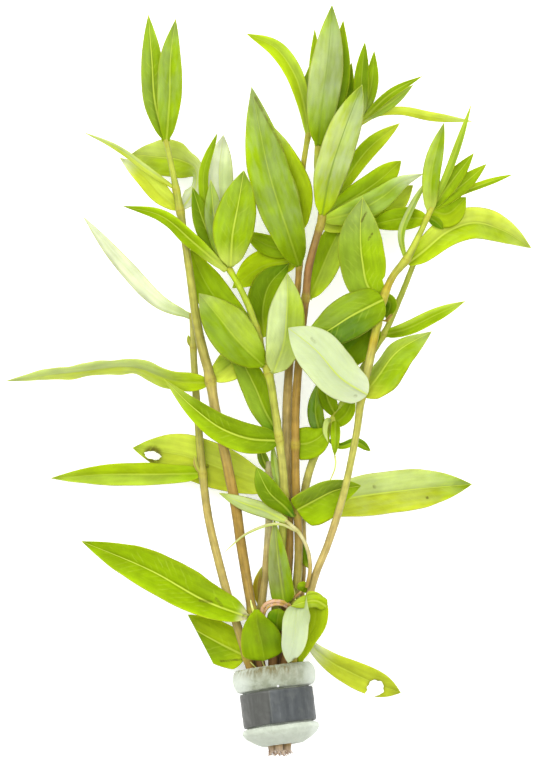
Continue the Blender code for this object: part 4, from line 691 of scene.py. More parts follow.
def capped(rows: int, sides: int) -> list[tuple[int, ...]]:
    """The faces between rings of points, and a cap over each end."""
    return [*rings(rows, sides), tuple(range(sides)), tuple(range((rows - 1) * sides, rows * sides))]


@dataclass
class Sheet:
    """A mesh in the making: points in millimetres, faces, and what each point carries."""

    points: np.ndarray
    faces: list[tuple[int, ...]]
    carried: dict[str, np.ndarray] = field(default_factory=dict)

    def joined(self, other: "Sheet") -> "Sheet":
        """Put another sheet beside this one.

        Args:
            other: the sheet to add, which carries the same values.

        Returns:
            Both as one sheet.
        """
        shift = len(self.points)
        faces = self.faces + [tuple(i + shift for i in face) for face in other.faces]
        carried = {name: np.concatenate([values, other.carried[name]])
                   for name, values in self.carried.items()}
        return Sheet(np.concatenate([self.points, other.points]), faces, carried)

    def build(self, name: str) -> bpy.types.Object:
        """Make the sheet an object at the origin, in metres.

        Args:
            name: the object's name.

        Returns:
            The object, smooth, with its faces pointing out.
        """
        mesh = bpy.data.meshes.new(name)
        mesh.from_pydata([tuple(point) for point in self.points * MM], [], self.faces)
        store(mesh, self.carried)
        bm = bmesh.new()
        bm.from_mesh(mesh)
        bmesh.ops.recalc_face_normals(bm, faces=bm.faces)
        bm.to_mesh(mesh)
        bm.free()
        mesh.shade_smooth()
        return added(name, mesh)


class Mottle(NamedTuple):
    """A cloudy pattern: its scale, the noise values that it runs between, and what they become."""

    scale: float
    low: float
    high: float
    least: float = 0.0
    most: float = 1.0
    detail: float = 2.0
    rough: float = 0.55


class Wiring:
    """Lays nodes in a shader or geometry tree."""

    def __init__(self, tree: bpy.types.NodeTree) -> None:
        """Take a tree and empty it.

        Args:
            tree: the node tree.
        """
        self.tree = tree
        tree.nodes.clear()

    def node(self, kind: str, plugs: dict | None = None, **settings: object) -> bpy.types.Node:
        """Add a node.

        Args:
            kind: the node's type name.
            plugs: a value or an output socket for each input, by name or number.
            settings: the node's own properties.

        Returns:
            The node.
        """
        node = self.tree.nodes.new(kind)
        for name, value in settings.items():
            setattr(node, name, value)
        for key, value in (plugs or {}).items():
            if isinstance(value, bpy.types.NodeSocket):
                self.tree.links.new(value, node.inputs[key])
            else:
                node.inputs[key].default_value = value
        return node

    def math(self, operation: str, first: object, second: object = 0.0) -> bpy.types.NodeSocket:
        """Work out a number from two others.

        Args:
            operation: the sum's name, such as ADD.
            first: a number or an output.
            second: a number or an output.

        Returns:
            The result's socket.
        """
        return self.node("ShaderNodeMath", {0: first, 1: second}, operation=operation).outputs[0]

    def times(self, *values: object) -> bpy.types.NodeSocket:
        """The product of numbers or outputs."""
        return reduce(lambda first, second: self.math("MULTIPLY", first, second), values)

    def plus(self, first: object, second: object) -> bpy.types.NodeSocket:
        """The sum of two numbers or outputs."""
        return self.math("ADD", first, second)

    def minus(self, first: object, second: object) -> bpy.types.NodeSocket:
        """One number or output less another."""
        return self.math("SUBTRACT", first, second)

    def span(self, value: object, low: float, high: float, least: float = 0.0,
             most: float = 1.0) -> bpy.types.NodeSocket:
        """Map a range of values smoothly onto another, held at its ends.

        Args:
            value: the number to map.
            low: the value that gives least.
            high: the value that gives most.
            least: the result at low.
            most: the result at high.

        Returns:
            The result's socket.
        """
        plugs = {"Value": value, "From Min": low, "From Max": high, "To Min": least, "To Max": most}
        return self.node("ShaderNodeMapRange", plugs, interpolation_type="SMOOTHSTEP").outputs[0]

    def blend(self, share: object, first: object, second: object,
              kind: str = "MIX") -> bpy.types.NodeSocket:
        """Mix two colours.

        Args:
            share: how much of the second there is.
            first: a colour or an output.
            second: a colour or an output.
            kind: the way they mix.

        Returns:
            The mixed colour's socket.
        """
        plugs = {0: share, 6: first, 7: second}
        return self.node("ShaderNodeMix", plugs, data_type="RGBA", blend_type=kind).outputs[2]

    def shaded(self, colour: object, level: object) -> bpy.types.NodeSocket:
        """A colour made darker or lighter by a level."""
        grey = self.node("ShaderNodeCombineColor", {0: level, 1: level, 2: level}).outputs[0]
        return self.blend(1.0, colour, grey, "MULTIPLY")

    def noise(self, vector: object, scale: float, detail: float = 3.0,
              rough: float = 0.55) -> bpy.types.NodeSocket:
        """Read a cloudy noise.

        Args:
            vector: where to read it.
            scale: how fine it is.
            detail: how many finer layers it has.
            rough: how strong those are.

        Returns:
            The noise, about 0.3 to 0.7.
        """
        plugs = {"Vector": vector, "Scale": scale, "Detail": detail, "Roughness": rough}
        return self.node("ShaderNodeTexNoise", plugs).outputs["Fac"]

    def mottle(self, vector: object, mottle: Mottle) -> bpy.types.NodeSocket:
        """A cloudy pattern read at a place."""
        cloud = self.noise(vector, mottle.scale, mottle.detail, mottle.rough)
        return self.span(cloud, mottle.low, mottle.high, mottle.least, mottle.most)

    def read(self, name: str, output: str = "Fac") -> bpy.types.NodeSocket:
        """One of the mesh's own attributes."""
        node = self.node("ShaderNodeAttribute", attribute_name=name, attribute_type="GEOMETRY")
        return node.outputs[output]

    def apart(self, vector: object) -> bpy.types.bpy_prop_collection:
        """The outputs x, y and z of a vector."""
        return self.node("ShaderNodeSeparateXYZ", {0: vector}).outputs

    def place(self, stretch: tuple[float, float, float] = (1.0, 1.0, 1.0)) -> bpy.types.NodeSocket:
        """Object coordinates in millimetres, stretched to make a pattern finer along an axis."""
        place = self.node("ShaderNodeTexCoord").outputs["Object"]
        plugs = {0: place, 1: tuple(by / MM for by in stretch)}
        return self.node("ShaderNodeVectorMath", plugs, operation="MULTIPLY").outputs[0]

    def drawn(self, x: object, y: object, by: tuple[float, float],
              z: object = 0.0) -> bpy.types.NodeSocket:
        """Coordinates of a pattern that is drawn out over a surface.

        Args:
            x: its first coordinate.
            y: its second coordinate.
            by: how fine the pattern is along each of them.
            z: its third, or the layer of the noise that it is read from.

        Returns:
            The coordinates' socket.
        """
        plugs = {0: self.times(x, by[0]), 1: self.times(y, by[1]), 2: z}
        return self.node("ShaderNodeCombineXYZ", plugs).outputs[0]

    def bump(self, height: object, strength: float, depth: float) -> bpy.types.NodeSocket:
        """Turn a height into a normal.

        Args:
            height: the height's socket.
            strength: how much of it shows, 0 to 1.
            depth: how deep a height of 1 is, in millimetres.

        Returns:
            The normal's socket.
        """
        plugs = {"Strength": strength, "Distance": depth * MM, "Height": height}
        return self.node("ShaderNodeBump", plugs).outputs[0]

    def surface(self, colour: object, rough: object, plugs: dict,
                sunk: tuple[float, Colour, float] | None = None) -> None:
        """End a material in one shader.

        Args:
            colour: its colour.
            rough: its roughness.
            plugs: its other inputs.
            sunk: how much light sinks in, its reach in each colour, and how many millimetres that is.
        """
        plugs = {"Base Color": colour, "Roughness": rough, **plugs}
        if sunk:
            plugs["Subsurface Weight"], plugs["Subsurface Radius"] = sunk[:2]
            plugs["Subsurface Scale"] = sunk[2] * MM
        shader = self.node("ShaderNodeBsdfPrincipled", plugs)
        self.node("ShaderNodeOutputMaterial", {"Surface": shader.outputs[0]})


def new_material(name: str) -> tuple[bpy.types.Material, Wiring]:
    """Start a material.

    Args:
        name: its name.

    Returns:
        The material, and the wiring of its empty tree.
    """
    material = bpy.data.materials.new(name)
    material.use_nodes = True
    return material, Wiring(material.node_tree)


@dataclass(frozen=True)
class LeafFinish:
    """A soft leaf skin with a bright midrib, faint side veins, cloudy greens and silvery patches.

    The silvery patches are painted sheen, a painted reflection. It also paints shade beside the
    midrib and in its crease, and a pale glow along each margin.
    """

    name: str = "leaf skin"
    key: float = 0.6
    cloud: Mottle = Mottle(0.13, 0.32, 0.68, 0.87, 1.1)
    streak: Mottle = Mottle(1.0, 0.3, 0.7, 0.92, 1.07)
    cells: Mottle = Mottle(2.6, 0.3, 0.7, 0.98, 1.02)
    vein_gap: float = 2.7
    vein_slant: float = 1.3
    vein_wander: float = 2.2
    vein_half: float = 0.2
    vein_show: float = 0.2
    vein_clear: tuple[float, float] = (0.6, 2.4)
    vein_breaks: Mottle = Mottle(0.2, 0.42, 0.62)
    rib_width: float = 0.4
    rib_tip: float = 0.1
    rib_breaks: Mottle = Mottle(0.6, 0.3, 0.6, 0.6, 1.0)
    # painted shade: a darker band beside the midrib, from one reach to another
    rib_shade: tuple[float, float, float] = (1.1, 3.4, 0.8)
    # painted sheen: cloudy patches where the silvery reflection is painted
    painted_sheen_patch: Mottle = Mottle(0.8, 0.36, 0.64, rough=0.5)
    under_lines: Mottle = Mottle(1.0, 0.35, 0.65, 0.0, 0.3)
    under_show: float = 0.72
    # painted glow: a thin pale line along each margin
    rim_width: float = 0.3
    rim_glow_show: float = 0.55
    rim_glow_breaks: Mottle = Mottle(0.12, 0.4, 0.6, 0.3, 1.0)
    mark_breaks: Mottle = Mottle(0.9, 0.34, 0.54, 0.35, 0.9, 3.0)
    gloss: float = 0.28
    glow: float = 0.2
    rib_tone: Colour = (218, 236, 84)
    # painted shade: the dark line in a midrib's crease
    crease_shade_tone: Colour = (118, 146, 46)
    # the painted glow's colour
    rim_glow_tone: Colour = (222, 236, 60)
    # painted sheen: the colour of the painted silvery reflection
    silver: Colour = (206, 216, 190)
    underside: Colour = (216, 230, 186)

    def material(self) -> bpy.types.Material:
        """Lay the leaf's nodes.

        Returns:
            The material.
        """
        material, w = new_material(self.name)
        place = w.place()
        off, along, edge = w.apart(w.read("blade", "Vector"))
        away = w.math("ABSOLUTE", off)
        drawn_out = w.drawn(off, along, (0.9, 0.09))
        streak, cells = w.mottle(drawn_out, self.streak), w.mottle(place, self.cells)
        # rim_light brightens the skin as a painted glow, or darkens it as painted shade, towards each
        # margin
        light = w.times(w.mottle(place, self.cloud), streak, cells, w.read("rim_light"), self.key)
        skin = w.shaded(w.read("tone", "Color"), light)

        rib_show = w.read("rib_show")
        wander = w.times(w.noise(place, 0.3, 2.0), self.vein_wander)
        slant = w.plus(w.minus(along, w.times(away, self.vein_slant)), wander)
        phase = w.math("FRACT", w.math("DIVIDE", slant, self.vein_gap))
        vein = w.span(w.math("ABSOLUTE", w.minus(phase, 0.5)), 0.0, self.vein_half, 1.0, 0.0)
        clear = w.span(edge, *self.vein_clear, 0.0, self.vein_show)
        shown = w.times(vein, clear, w.mottle(place, self.vein_breaks), rib_show)
        skin = w.blend(shown, skin, rgba(self.rib_tone, self.key))

        half = w.span(w.read("reach"), 0.05, 1.0, self.rib_width, self.rib_tip)
        across_rib = w.math("DIVIDE", away, half)
        rib_share = w.times(rib_show, w.mottle(drawn_out, self.rib_breaks))
        # painted shade: the skin darkens in a band on each side of the midrib
        shade = w.span(across_rib, *self.rib_shade, 1.0)
        skin = w.blend(rib_share, skin, w.shaded(skin, shade))

        # painted sheen: silvery patches of painted reflection, as strong as the leaf's sheen attribute
        sheen_patch = w.mottle(w.drawn(off, along, (0.6, 0.16), 3.0), self.painted_sheen_patch)
        skin = w.blend(w.times(w.read("sheen"), sheen_patch), skin, rgba(self.silver, self.key))
        lines = w.mottle(w.drawn(off, along, (2.4, 0.1), 8.0), self.under_lines)
        pale = w.blend(lines, rgba(self.underside, self.key), skin)
        skin = w.blend(w.times(w.read("under"), self.under_show), skin, pale)

        rib = w.times(w.span(across_rib, 0.4, 1.1, 1.0, 0.0), rib_share)
        skin = w.blend(rib, skin, rgba(self.rib_tone, self.key))
        # painted shade: a dark line in the midrib's crease where rib is below nought
        crease_shade = w.math("MAXIMUM", w.times(rib, -1.0), 0.0)
        skin = w.blend(crease_shade, skin, rgba(self.crease_shade_tone, self.key))
        # painted glow: a thin pale yellow line at each margin, broken by cloud
        rim = w.span(edge, 0.02, self.rim_width, self.rim_glow_show, 0.0)
        rim = w.times(rim, w.mottle(place, self.rim_glow_breaks))
        skin = w.blend(rim, skin, rgba(self.rim_glow_tone, self.key))
        blot = w.times(w.read("mark"), w.mottle(place, self.mark_breaks))
        skin = w.blend(blot, skin, rgba(Tone.ROT.value, self.key))

        height = w.plus(w.minus(w.times(cells, 1.5), w.times(vein, 0.35)), streak)
        rough = w.plus(self.gloss, w.times(w.noise(place, 0.4), 0.3))
        normal = w.bump(height, 0.35, 0.14)
        w.surface(skin, rough, {"Normal": normal, "IOR": 1.38, "Specular IOR Level": 0.05},
                  (self.glow, (0.9, 1.0, 0.15), 1.0))
        return material


@dataclass(frozen=True)
class StalkFinish:
    """A fleshy stem skin with fibres along it, blotches, and bands at its joints.

    Its top is painted lighter and its sides darker, as painted light and shade.
    """

    name: str = "stem skin"
    key: float = 0.58
    fibres: float = 2.2
    draw: float = 0.12
    fibre_light: tuple[float, float] = (0.82, 1.18)
    blotch: Mottle = Mottle(0.3, 0.3, 0.7, 0.86, 1.14, 3.0)
    # painted light and shade: how dark the sides and how light the top are painted
    sides: tuple[float, float] = (0.74, 1.12)
    joint_show: float = 0.45
    band_show: float = 0.4
    band_breaks: Mottle = Mottle(1.4, 0.35, 0.65)
    speck: Mottle = Mottle(1.8, 0.66, 0.74, 0.0, 0.2)
    joint_tone: Colour = (206, 200, 60)
    band_tone: Colour = (150, 122, 50)

    def material(self) -> bpy.types.Material:
        """Lay the stem's nodes.

        Returns:
            The material.
        """
        material, w = new_material(self.name)
        place = w.place()
        rim = w.apart(w.read("rim", "Vector"))
        length = w.times(w.read("length"), self.draw / MM)
        fibre = w.noise(w.drawn(rim[0], rim[1], (self.fibres, self.fibres), length), 1.0, 4.0, 0.6)
        fibre_light = w.span(fibre, 0.3, 0.7, *(self.key * light for light in self.fibre_light))
        # painted light and shade: the stem is painted lighter where its surface faces up and darker down
        # its sides
        upward = w.apart(w.node("ShaderNodeNewGeometry").outputs["Normal"])[2]
        painted_top_light = w.span(upward, 0.05, 0.95, *self.sides)
        light = w.times(fibre_light, w.mottle(place, self.blotch), painted_top_light)
        skin = w.shaded(w.read("tone", "Color"), light)
        knot = w.read("knot")
        joint = w.times(w.span(knot, 0.1, 0.9), self.joint_show)
        skin = w.blend(joint, skin, rgba(self.joint_tone, self.key))
        band = w.times(w.span(knot, 0.8, 0.98), w.mottle(place, self.band_breaks), self.band_show)
        skin = w.blend(band, skin, rgba(self.band_tone, self.key))
        skin = w.blend(w.mottle(place, self.speck), skin, rgba(Tone.ROT.value, self.key))
        normal = w.bump(w.plus(fibre, w.times(w.noise(place, 1.2), 0.5)), 0.5, 0.3)
        rough = w.span(fibre, 0.3, 0.7, 0.3, 0.55)
        w.surface(skin, rough, {"Normal": normal, "Specular IOR Level": 0.18},
                  (0.15, (1.0, 0.8, 0.3), 1.0))
        return material


@dataclass(frozen=True)
class FoamFinish:
    """Soft milky foam with pores and cloudy patches, stained at the stems and white at the sides.

    A small white spot on it is a painted highlight.
    """

    name: str = "milky foam"
    light: Colour = (156, 162, 144)
    dull: Colour = (132, 138, 116)
    pore: Colour = (112, 118, 92)
    clean: Colour = (188, 195, 182)
    stain: Colour = (104, 94, 52)
    clean_sides: tuple[float, float] = (6.5, 11.0)
    clean_foot: tuple[float, float] = (2.0, -5.0)
    stained_top: tuple[float, float] = (7.5, 12.0)
    stained_middle: tuple[float, float] = (9.0, 1.0)
    stain_streaks: Mottle = Mottle(0.9, 0.36, 0.66, 0.2, 0.9, 3.0)
    pore_show: float = 0.16
    # painted highlight: where the small white spot sits and how wide it is
    highlight_spot: tuple[float, float] = (0.0, 6.6)
    highlight_radius: float = 0.5

    def material(self) -> bpy.types.Material:
        """Lay the foam's nodes.

        Returns:
            The material.
        """
        material, w = new_material(self.name)
        place = w.place()
        x, y, _ = w.apart(place)
        creases = w.noise(w.place((0.9, 0.5, 0.9)), 0.6, 3.0, 0.5)
        patches = w.noise(place, 0.5)
        mixed = w.span(w.plus(w.times(creases, 0.5), w.times(patches, 0.5)), 0.36, 0.62)
        skin = w.blend(mixed, rgba(self.dull), rgba(self.light))
        outward = w.span(w.math("ABSOLUTE", x), *self.clean_sides)
        lower = w.span(y, *self.clean_foot, 0.0, 0.6)
        skin = w.blend(w.math("MAXIMUM", outward, lower), skin, rgba(self.clean))
        stained = w.times(w.mottle(w.place((1.2, 0.3, 1.2)), self.stain_streaks),
                          w.span(y, *self.stained_top), w.span(x, *self.stained_middle))
        skin = w.blend(stained, skin, rgba(self.stain))
        cells = w.node("ShaderNodeTexVoronoi", {"Vector": place, "Scale": 1.5}).outputs["Distance"]
        skin = w.blend(w.times(w.span(cells, 0.08, 0.3, 1.0, 0.0), self.pore_show), skin, rgba(self.pore))
        # painted highlight: a small white spot on the foam
        away = w.drawn(w.minus(x, self.highlight_spot[0]), w.minus(y, self.highlight_spot[1]), (1.0, 1.0))
        away = w.node("ShaderNodeVectorMath", {0: away}, operation="LENGTH").outputs["Value"]
        skin = w.blend(w.span(away, 0.4 * self.highlight_radius, self.highlight_radius, 0.9, 0.0), skin, WHITE)
        normal = w.bump(w.plus(w.times(cells, 0.6), w.times(creases, 0.9)), 0.6, 0.45)
        w.surface(skin, w.span(patches, 0.3, 0.7, 0.75, 0.95), {"Normal": normal},
                  (0.5, (1.0, 1.0, 0.9), 2.5))
        return material


@dataclass(frozen=True)
class LeadFinish:
    """Soft dull lead with pressed wrinkles across the strip, scuffs and paler worn edges."""

    name: str = "dull lead"
    base: Colour = (70, 74, 75)
    dark: Colour = (60, 64, 66)
    warm: Colour = (82, 82, 76)
    worn: Colour = (104, 107, 102)
    lap: float = -2.4
    lap_show: float = 0.7
    edge_show: float = 0.4
    scuff: Mottle = Mottle(0.7, 0.64, 0.72, 0.0, 0.22)

    def material(self) -> bpy.types.Material:
        """Lay the lead's nodes.

        Returns:
            The material.
        """
        material, w = new_material(self.name)
        place = w.place()
        round_it, along, edge = w.apart(w.read("wrap", "Vector"))
        wrinkle = w.noise(w.drawn(round_it, along, (0.7, 0.09)), 1.0, 3.0, 0.5)
        cloud = w.noise(place, 0.35, 3.0, 0.5)
        skin = w.blend(w.span(wrinkle, 0.32, 0.66), rgba(self.dark), rgba(self.base))
        lapped = w.span(w.apart(place)[0], self.lap + 0.2, self.lap - 0.2, 0.0, self.lap_show)
        skin = w.blend(lapped, skin, rgba(self.warm))
        skin = w.blend(w.span(cloud, 0.5, 0.72, 0.0, 0.25), skin, rgba(self.worn))
        edge = w.minus(edge, w.times(w.noise(place, 1.2), 0.5))
        skin = w.blend(w.span(edge, -0.1, 0.35, self.edge_show, 0.0), skin, rgba(self.worn))
        skin = w.blend(w.mottle(w.place((3.0, 0.3, 3.0)), self.scuff), skin, rgba(self.worn))
        normal = w.bump(w.plus(wrinkle, w.times(cloud, 0.5)), 0.45, 0.3)
        w.surface(skin, w.span(cloud, 0.3, 0.7, 0.48, 0.7), {"Normal": normal, "Metallic": 0.35})
        return material


@dataclass(frozen=True)
class ThreadFinish:
    """Thin plant threads, such as stalks, twigs and torn fibres, in two tones along a cloudy change."""

    name: str
    tones: str

    def material(self) -> bpy.types.Material:
        """Lay the thread's nodes.

        Returns:
            The material.
        """
        material, w = new_material(self.name)
        cloud = w.noise(w.place(), 0.9)
        first, second = ((*light, 1.0) for light in lights(self.tones))
        skin = w.blend(w.span(cloud, 0.4, 0.6), first, second)
        w.surface(skin, w.span(cloud, 0.3, 0.7, 0.5, 0.8), {}, (0.15, (1.0, 0.8, 0.4), 0.6))
        return material


@dataclass(frozen=True)
class FloorFinish:
    """A plain pale floor with a barely uneven matte coat, lit a little from below."""

    name: str = "pale floor"
    tone: Colour = (252, 252, 252)
    cloud: Mottle = Mottle(0.004, 0.3, 0.7, 0.985, 1.0)
    glow: float = 0.35

    def material(self) -> bpy.types.Material:
        """Lay the floor's nodes.

        Returns:
            The material.
        """
        material, w = new_material(self.name)
        skin = w.shaded(rgba(self.tone), w.mottle(w.place(), self.cloud))
        w.surface(skin, 0.9, {"Specular IOR Level": 0.1, "Emission Color": WHITE,
                              "Emission Strength": self.glow})
        return material


def hand_over(piece: bpy.types.Object, nodes: list[str], of: str) -> None:
    """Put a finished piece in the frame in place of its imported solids.

    Args:
        piece: the finished piece.
        nodes: the solids that it stands for.
        of: what kind of piece it is, for the log.
    """
    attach(piece, BODY)
    if nodes:
        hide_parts(*nodes)
    log.info("%s %s: %d faces", of, piece.name, len(piece.data.polygons))


def stem_of(leaf: str) -> str:
    """The stem that a large leaf grows on. The one in front of the base grows on stem b."""
    return "stem_" + leaf.removeprefix("leaf_")[0]


@dataclass
class Foliage:
    """Leaves as soft closed blades, each with a midrib, a wavy margin and its own colours.

    The ranges wave_in, wave_out and sheen_in, and the tip's and the heel's ends, are fractions of the
    way along a blade. The other ranges run from the middle of a blade or blotch to its edge.
    """

    finish: LeafFinish = field(default_factory=LeafFinish)
    stations: int = 64
    columns: int = 21
    young_stations: int = 34
    young_columns: int = 13
    lead_in: int = 5
    foot_half: float = 1.0
    foot_share: float = 0.8
    full_size: float = 5.0
    least_size: float = 0.2
    thickness: float = 0.4
    keel: float = 0.34
    groove: float = 0.14
    rib_spread: float = 0.5
    rib_fade: float = 0.6
    wave: float = 0.4
    wave_length: float = 15.0
    wave_rise: float = 2.2
    fine_wave: float = 0.3
    wave_in: tuple[float, float] = (0.02, 0.22)
    wave_out: tuple[float, float] = (0.8, 1.0)
    sway: float = 0.01
    left_pitches: tuple[float, float] = (1.0, 0.53)
    right_pitches: tuple[float, float] = (1.13, 0.47)
    cup: float = 0.24
    heel: float = 0.1
    seam_half: float = 0.07
    tip_end: float = 0.98
    tip_show: float = 0.8
    # painted light: how strongly, and from how far out, the rim light rises towards a margin
    rim_light_rise: float = 0.45
    rim_light_start: float = 0.35
    sheen_in: tuple[float, float] = (0.05, 0.35)
    blot_edge: tuple[float, float] = (0.55, 1.15)
    bite_sides: int = 48
    cut_merge: float = 0.005
    cut_depth: tuple[float, float] = (-5.0, 60.0)
    bite_ragged: tuple[float, float] = (0.06, 0.04)
    bite_lobes: tuple[int, int] = (5, 9)
    dark_point: float = 0.3
    dark_start: float = 0.86
    floor: float = 0.03

    def margin(self, along: np.ndarray, pitches: tuple[float, float], starts: np.ndarray) -> np.ndarray:
        """Ripple one margin of a blade.

        Args:
            along: how far along the midrib each ring is.
            pitches: its long and its short wave, in wave lengths.
            starts: where in its swing each wave starts.

        Returns:
            The ripple at each ring, about -1 to 1.
        """
        long, short = (np.sin(math.tau * along / (self.wave_length * pitch) + start)
                       for pitch, start in zip(pitches, starts))
        return long + self.fine_wave * short

    def sheet(self, stem: str, blade: Blade, tint: Tint, luck: np.random.Generator,
              marks: list[Mark] | None = None, young: bool = True) -> Sheet:
        """Make one blade.

        Args:
            stem: the stem that it grows on.
            blade: its shape.
            tint: its tones.
            luck: where its waves come from.
            marks: its blotches, which a finer mesh carries.
            young: whether it is a small leaf, with a coarser mesh.

        Returns:
            The closed blade, carrying what its finish reads.
        """
        finer = 2 if marks else 1
        stations = self.young_stations if young else self.stations * finer
        columns = self.young_columns if young else self.columns * finer
        at = np.linspace(0, 1, stations, endpoint=False)
        middle = spline(blade.rib, at)
        right, up = directions(blade.rib, at)
        roll = np.radians(middle[:, 3:4] if middle.shape[1] > 3 else np.zeros((stations, 1)))
        side = np.cos(roll) * right + np.sin(roll) * up
        face = np.cos(roll) * up - np.sin(roll) * right
        half = blade.half_width(at)
        rounded = np.clip(at / self.heel, 0, 1)
        half = np.maximum(half * np.sqrt(rounded * (2 - rounded)), np.minimum(half, self.foot_half))
        centre, side, face, half, at = self.rooted(stem, middle[:, :3], side, face, half, at)

        along = distances(centre)
        across = np.linspace(-1, 1, columns)[None, :]
        out = np.abs(across)
        size = np.clip(half / self.full_size, self.least_size, 1)[:, None]
        quiet = (smooth(at, *self.wave_in) * (1 - smooth(at, *self.wave_out)))[:, None]
        starts = luck.uniform(0, math.tau, 4)
        waves = np.where(across < 0, self.margin(along, self.left_pitches, starts[:2])[:, None],
                         self.margin(along, self.right_pitches, starts[2:])[:, None])
        ripple = self.wave * size * quiet * out**self.wave_rise * waves
        fold = math.radians(blade.fold)
        lift = half[:, None] * (math.sin(fold) * out + self.cup * (out - across**2)) + ripple
        off = across * half[:, None] * (1 + self.sway * waves * quiet * out**3) * math.cos(fold)
        skin = np.minimum(self.thickness, half * 0.5)[:, None] / 2 * (1 - out**3)
        ridge = np.exp(-((off / (self.rib_spread * size)) ** 2)) * size
        ridge = ridge * (1 - self.rib_fade * at[:, None])
        flat = centre[:, None] + off[..., None] * side[:, None]
        above = flat + (lift + skin - self.groove * ridge * (skin > 0))[..., None] * face[:, None]
        below = flat + (lift - skin - self.keel * ridge * (skin > 0))[..., None] * face[:, None]

        ring = np.concatenate([above, below[:, columns - 2:0:-1]], axis=1)
        rows, sides = ring.shape[:2]
        points = np.concatenate([ring.reshape(-1, 3), spline(blade.rib, 1.0)[:, :3]])
        points[:, 2] = np.maximum(points[:, 2], self.floor)
        last = (rows - 1) * sides
        tip = [(last + i, len(points) - 1, last + (i + 1) % sides) for i in range(sides)]

        order = [*range(columns), *range(columns - 2, 0, -1)]
        wide = np.broadcast_to(across, off.shape)[:, order]
        each = {
            "blade": np.stack([off[:, order], np.broadcast_to(along[:, None], wide.shape),
                               half[:, None] * (1 - np.abs(wide))], axis=-1),
            "tone": self.tones(tint, wide, at),
            "reach": at[:, None],
            # painted glow or painted shade towards each margin, from the leaf's rim lights
            "rim_light": 1 + self.rim_light_rise * np.where(wide < 0, tint.left_rim_light, tint.right_rim_light)
            * smooth(np.abs(wide), self.rim_light_start, 1.0),
            "under": (np.arange(sides) >= columns).astype(float),
            # painted sheen, fading in from the heel
            "sheen": tint.sheen * smooth(at, *self.sheen_in)[:, None],
            "rib_show": np.array(float(tint.rib)),
        }
        carried = {name: self.laid_out(values, wide.shape) for name, values in each.items()}
        carried["mark"] = self.blots(points, marks or [])
        return Sheet(points, [tuple(range(sides)), *rings(rows, sides), *tip], carried)

    def rooted(self, stem: str, centre: np.ndarray, side: np.ndarray, face: np.ndarray, half: np.ndarray,
               at: np.ndarray) -> tuple[np.ndarray, ...]:
        """Lead a blade's foot into the stem that it grows from.

        Args:
            stem: the stem.
            centre: the blade's midrib.
            side: the direction to its right.
            face: the direction out of its upper side.
            half: its half widths.
            at: how far along each place is.

        Returns:
            The same five, with places added at the foot.
        """
        axis = spline(STEMS[stem], np.linspace(0, 1, 400))
        nearest = axis[np.argmin(np.linalg.norm(axis[:, :3] - centre[0], axis=1))]
        if np.linalg.norm(nearest[:3] - centre[0]) < nearest[3]:
            return centre, side, face, half, at
        lead = np.linspace(0, 1, self.lead_in, endpoint=False)[:, None]
        foot = nearest[:3] + (centre[0] - nearest[:3]) * lead
        narrow = min(half[0], self.foot_share * nearest[3])
        halves = narrow + (half[0] - narrow) * lead[:, 0] ** 2
        count = self.lead_in
        return (np.concatenate([foot, centre]), np.concatenate([np.repeat(side[:1], count, 0), side]),
                np.concatenate([np.repeat(face[:1], count, 0), face]), np.concatenate([halves, half]),
                np.concatenate([np.zeros(count), at]))

    def tones(self, tint: Tint, across: np.ndarray, at: np.ndarray) -> np.ndarray:
        """Spread a leaf's tones over it, and with them the light and shade painted on each half.

        Args:
            tint: the tones.
            across: where each place is across the blade, from -1 to 1.
            at: how far along each ring is.

        Returns:
            A colour with alpha for each place.
        """
        left, right, heel, tip = lights(tint.tones)
        seam = tint.seam - self.seam_half, tint.seam + self.seam_half
        to_right = smooth(across, *seam)[..., None]
        at = at[:, None, None]
        tone = left * (1 - to_right) + right * to_right
        tone = tone + (heel - tone) * (1 - smooth(at, 0.1 * tint.heel_end, tint.heel_end))
        tone = tone + (tip - tone) * smooth(at, tint.tip_start, self.tip_end) * self.tip_show
        tone = tone * (1 - self.dark_point * smooth(at, self.dark_start, 1.0))
        return np.concatenate([tone, np.ones((*tone.shape[:2], 1))], axis=-1)

    def laid_out(self, values: np.ndarray, shape: tuple[int, ...]) -> np.ndarray:
        """Lay out values point by point, ring after ring, with the tip's last.

        Args:
            values: a number, or a vector or colour, for each place or for all alike.
            shape: how many rings there are, and how many places each has.

        Returns:
            One row for each point.
        """
        if values.ndim < 3:
            values = np.broadcast_to(values, shape)
        flat = values.reshape(-1, *values.shape[2:])
        return np.concatenate([flat, flat[-1:]])

    def blots(self, points: np.ndarray, marks: list[Mark]) -> np.ndarray:
        """Find how strongly each point is marked.

        Args:
            points: the points.
            marks: the blotches.

        Returns:
            From 0 to 1 for each point.
        """
        blot = np.zeros(len(points))
        for mark in marks:
            start, run = np.array([mark.x, mark.y]), np.array([mark.run_x, mark.run_y])
            share = np.clip((points[:, :2] - start) @ run / max(run @ run, 1.0), 0, 1)
            away = np.linalg.norm(points[:, :2] - start - share[:, None] * run, axis=1)
            blot = np.maximum(blot, mark.depth * (1 - smooth(away / mark.radius, *self.blot_edge)))
        return blot

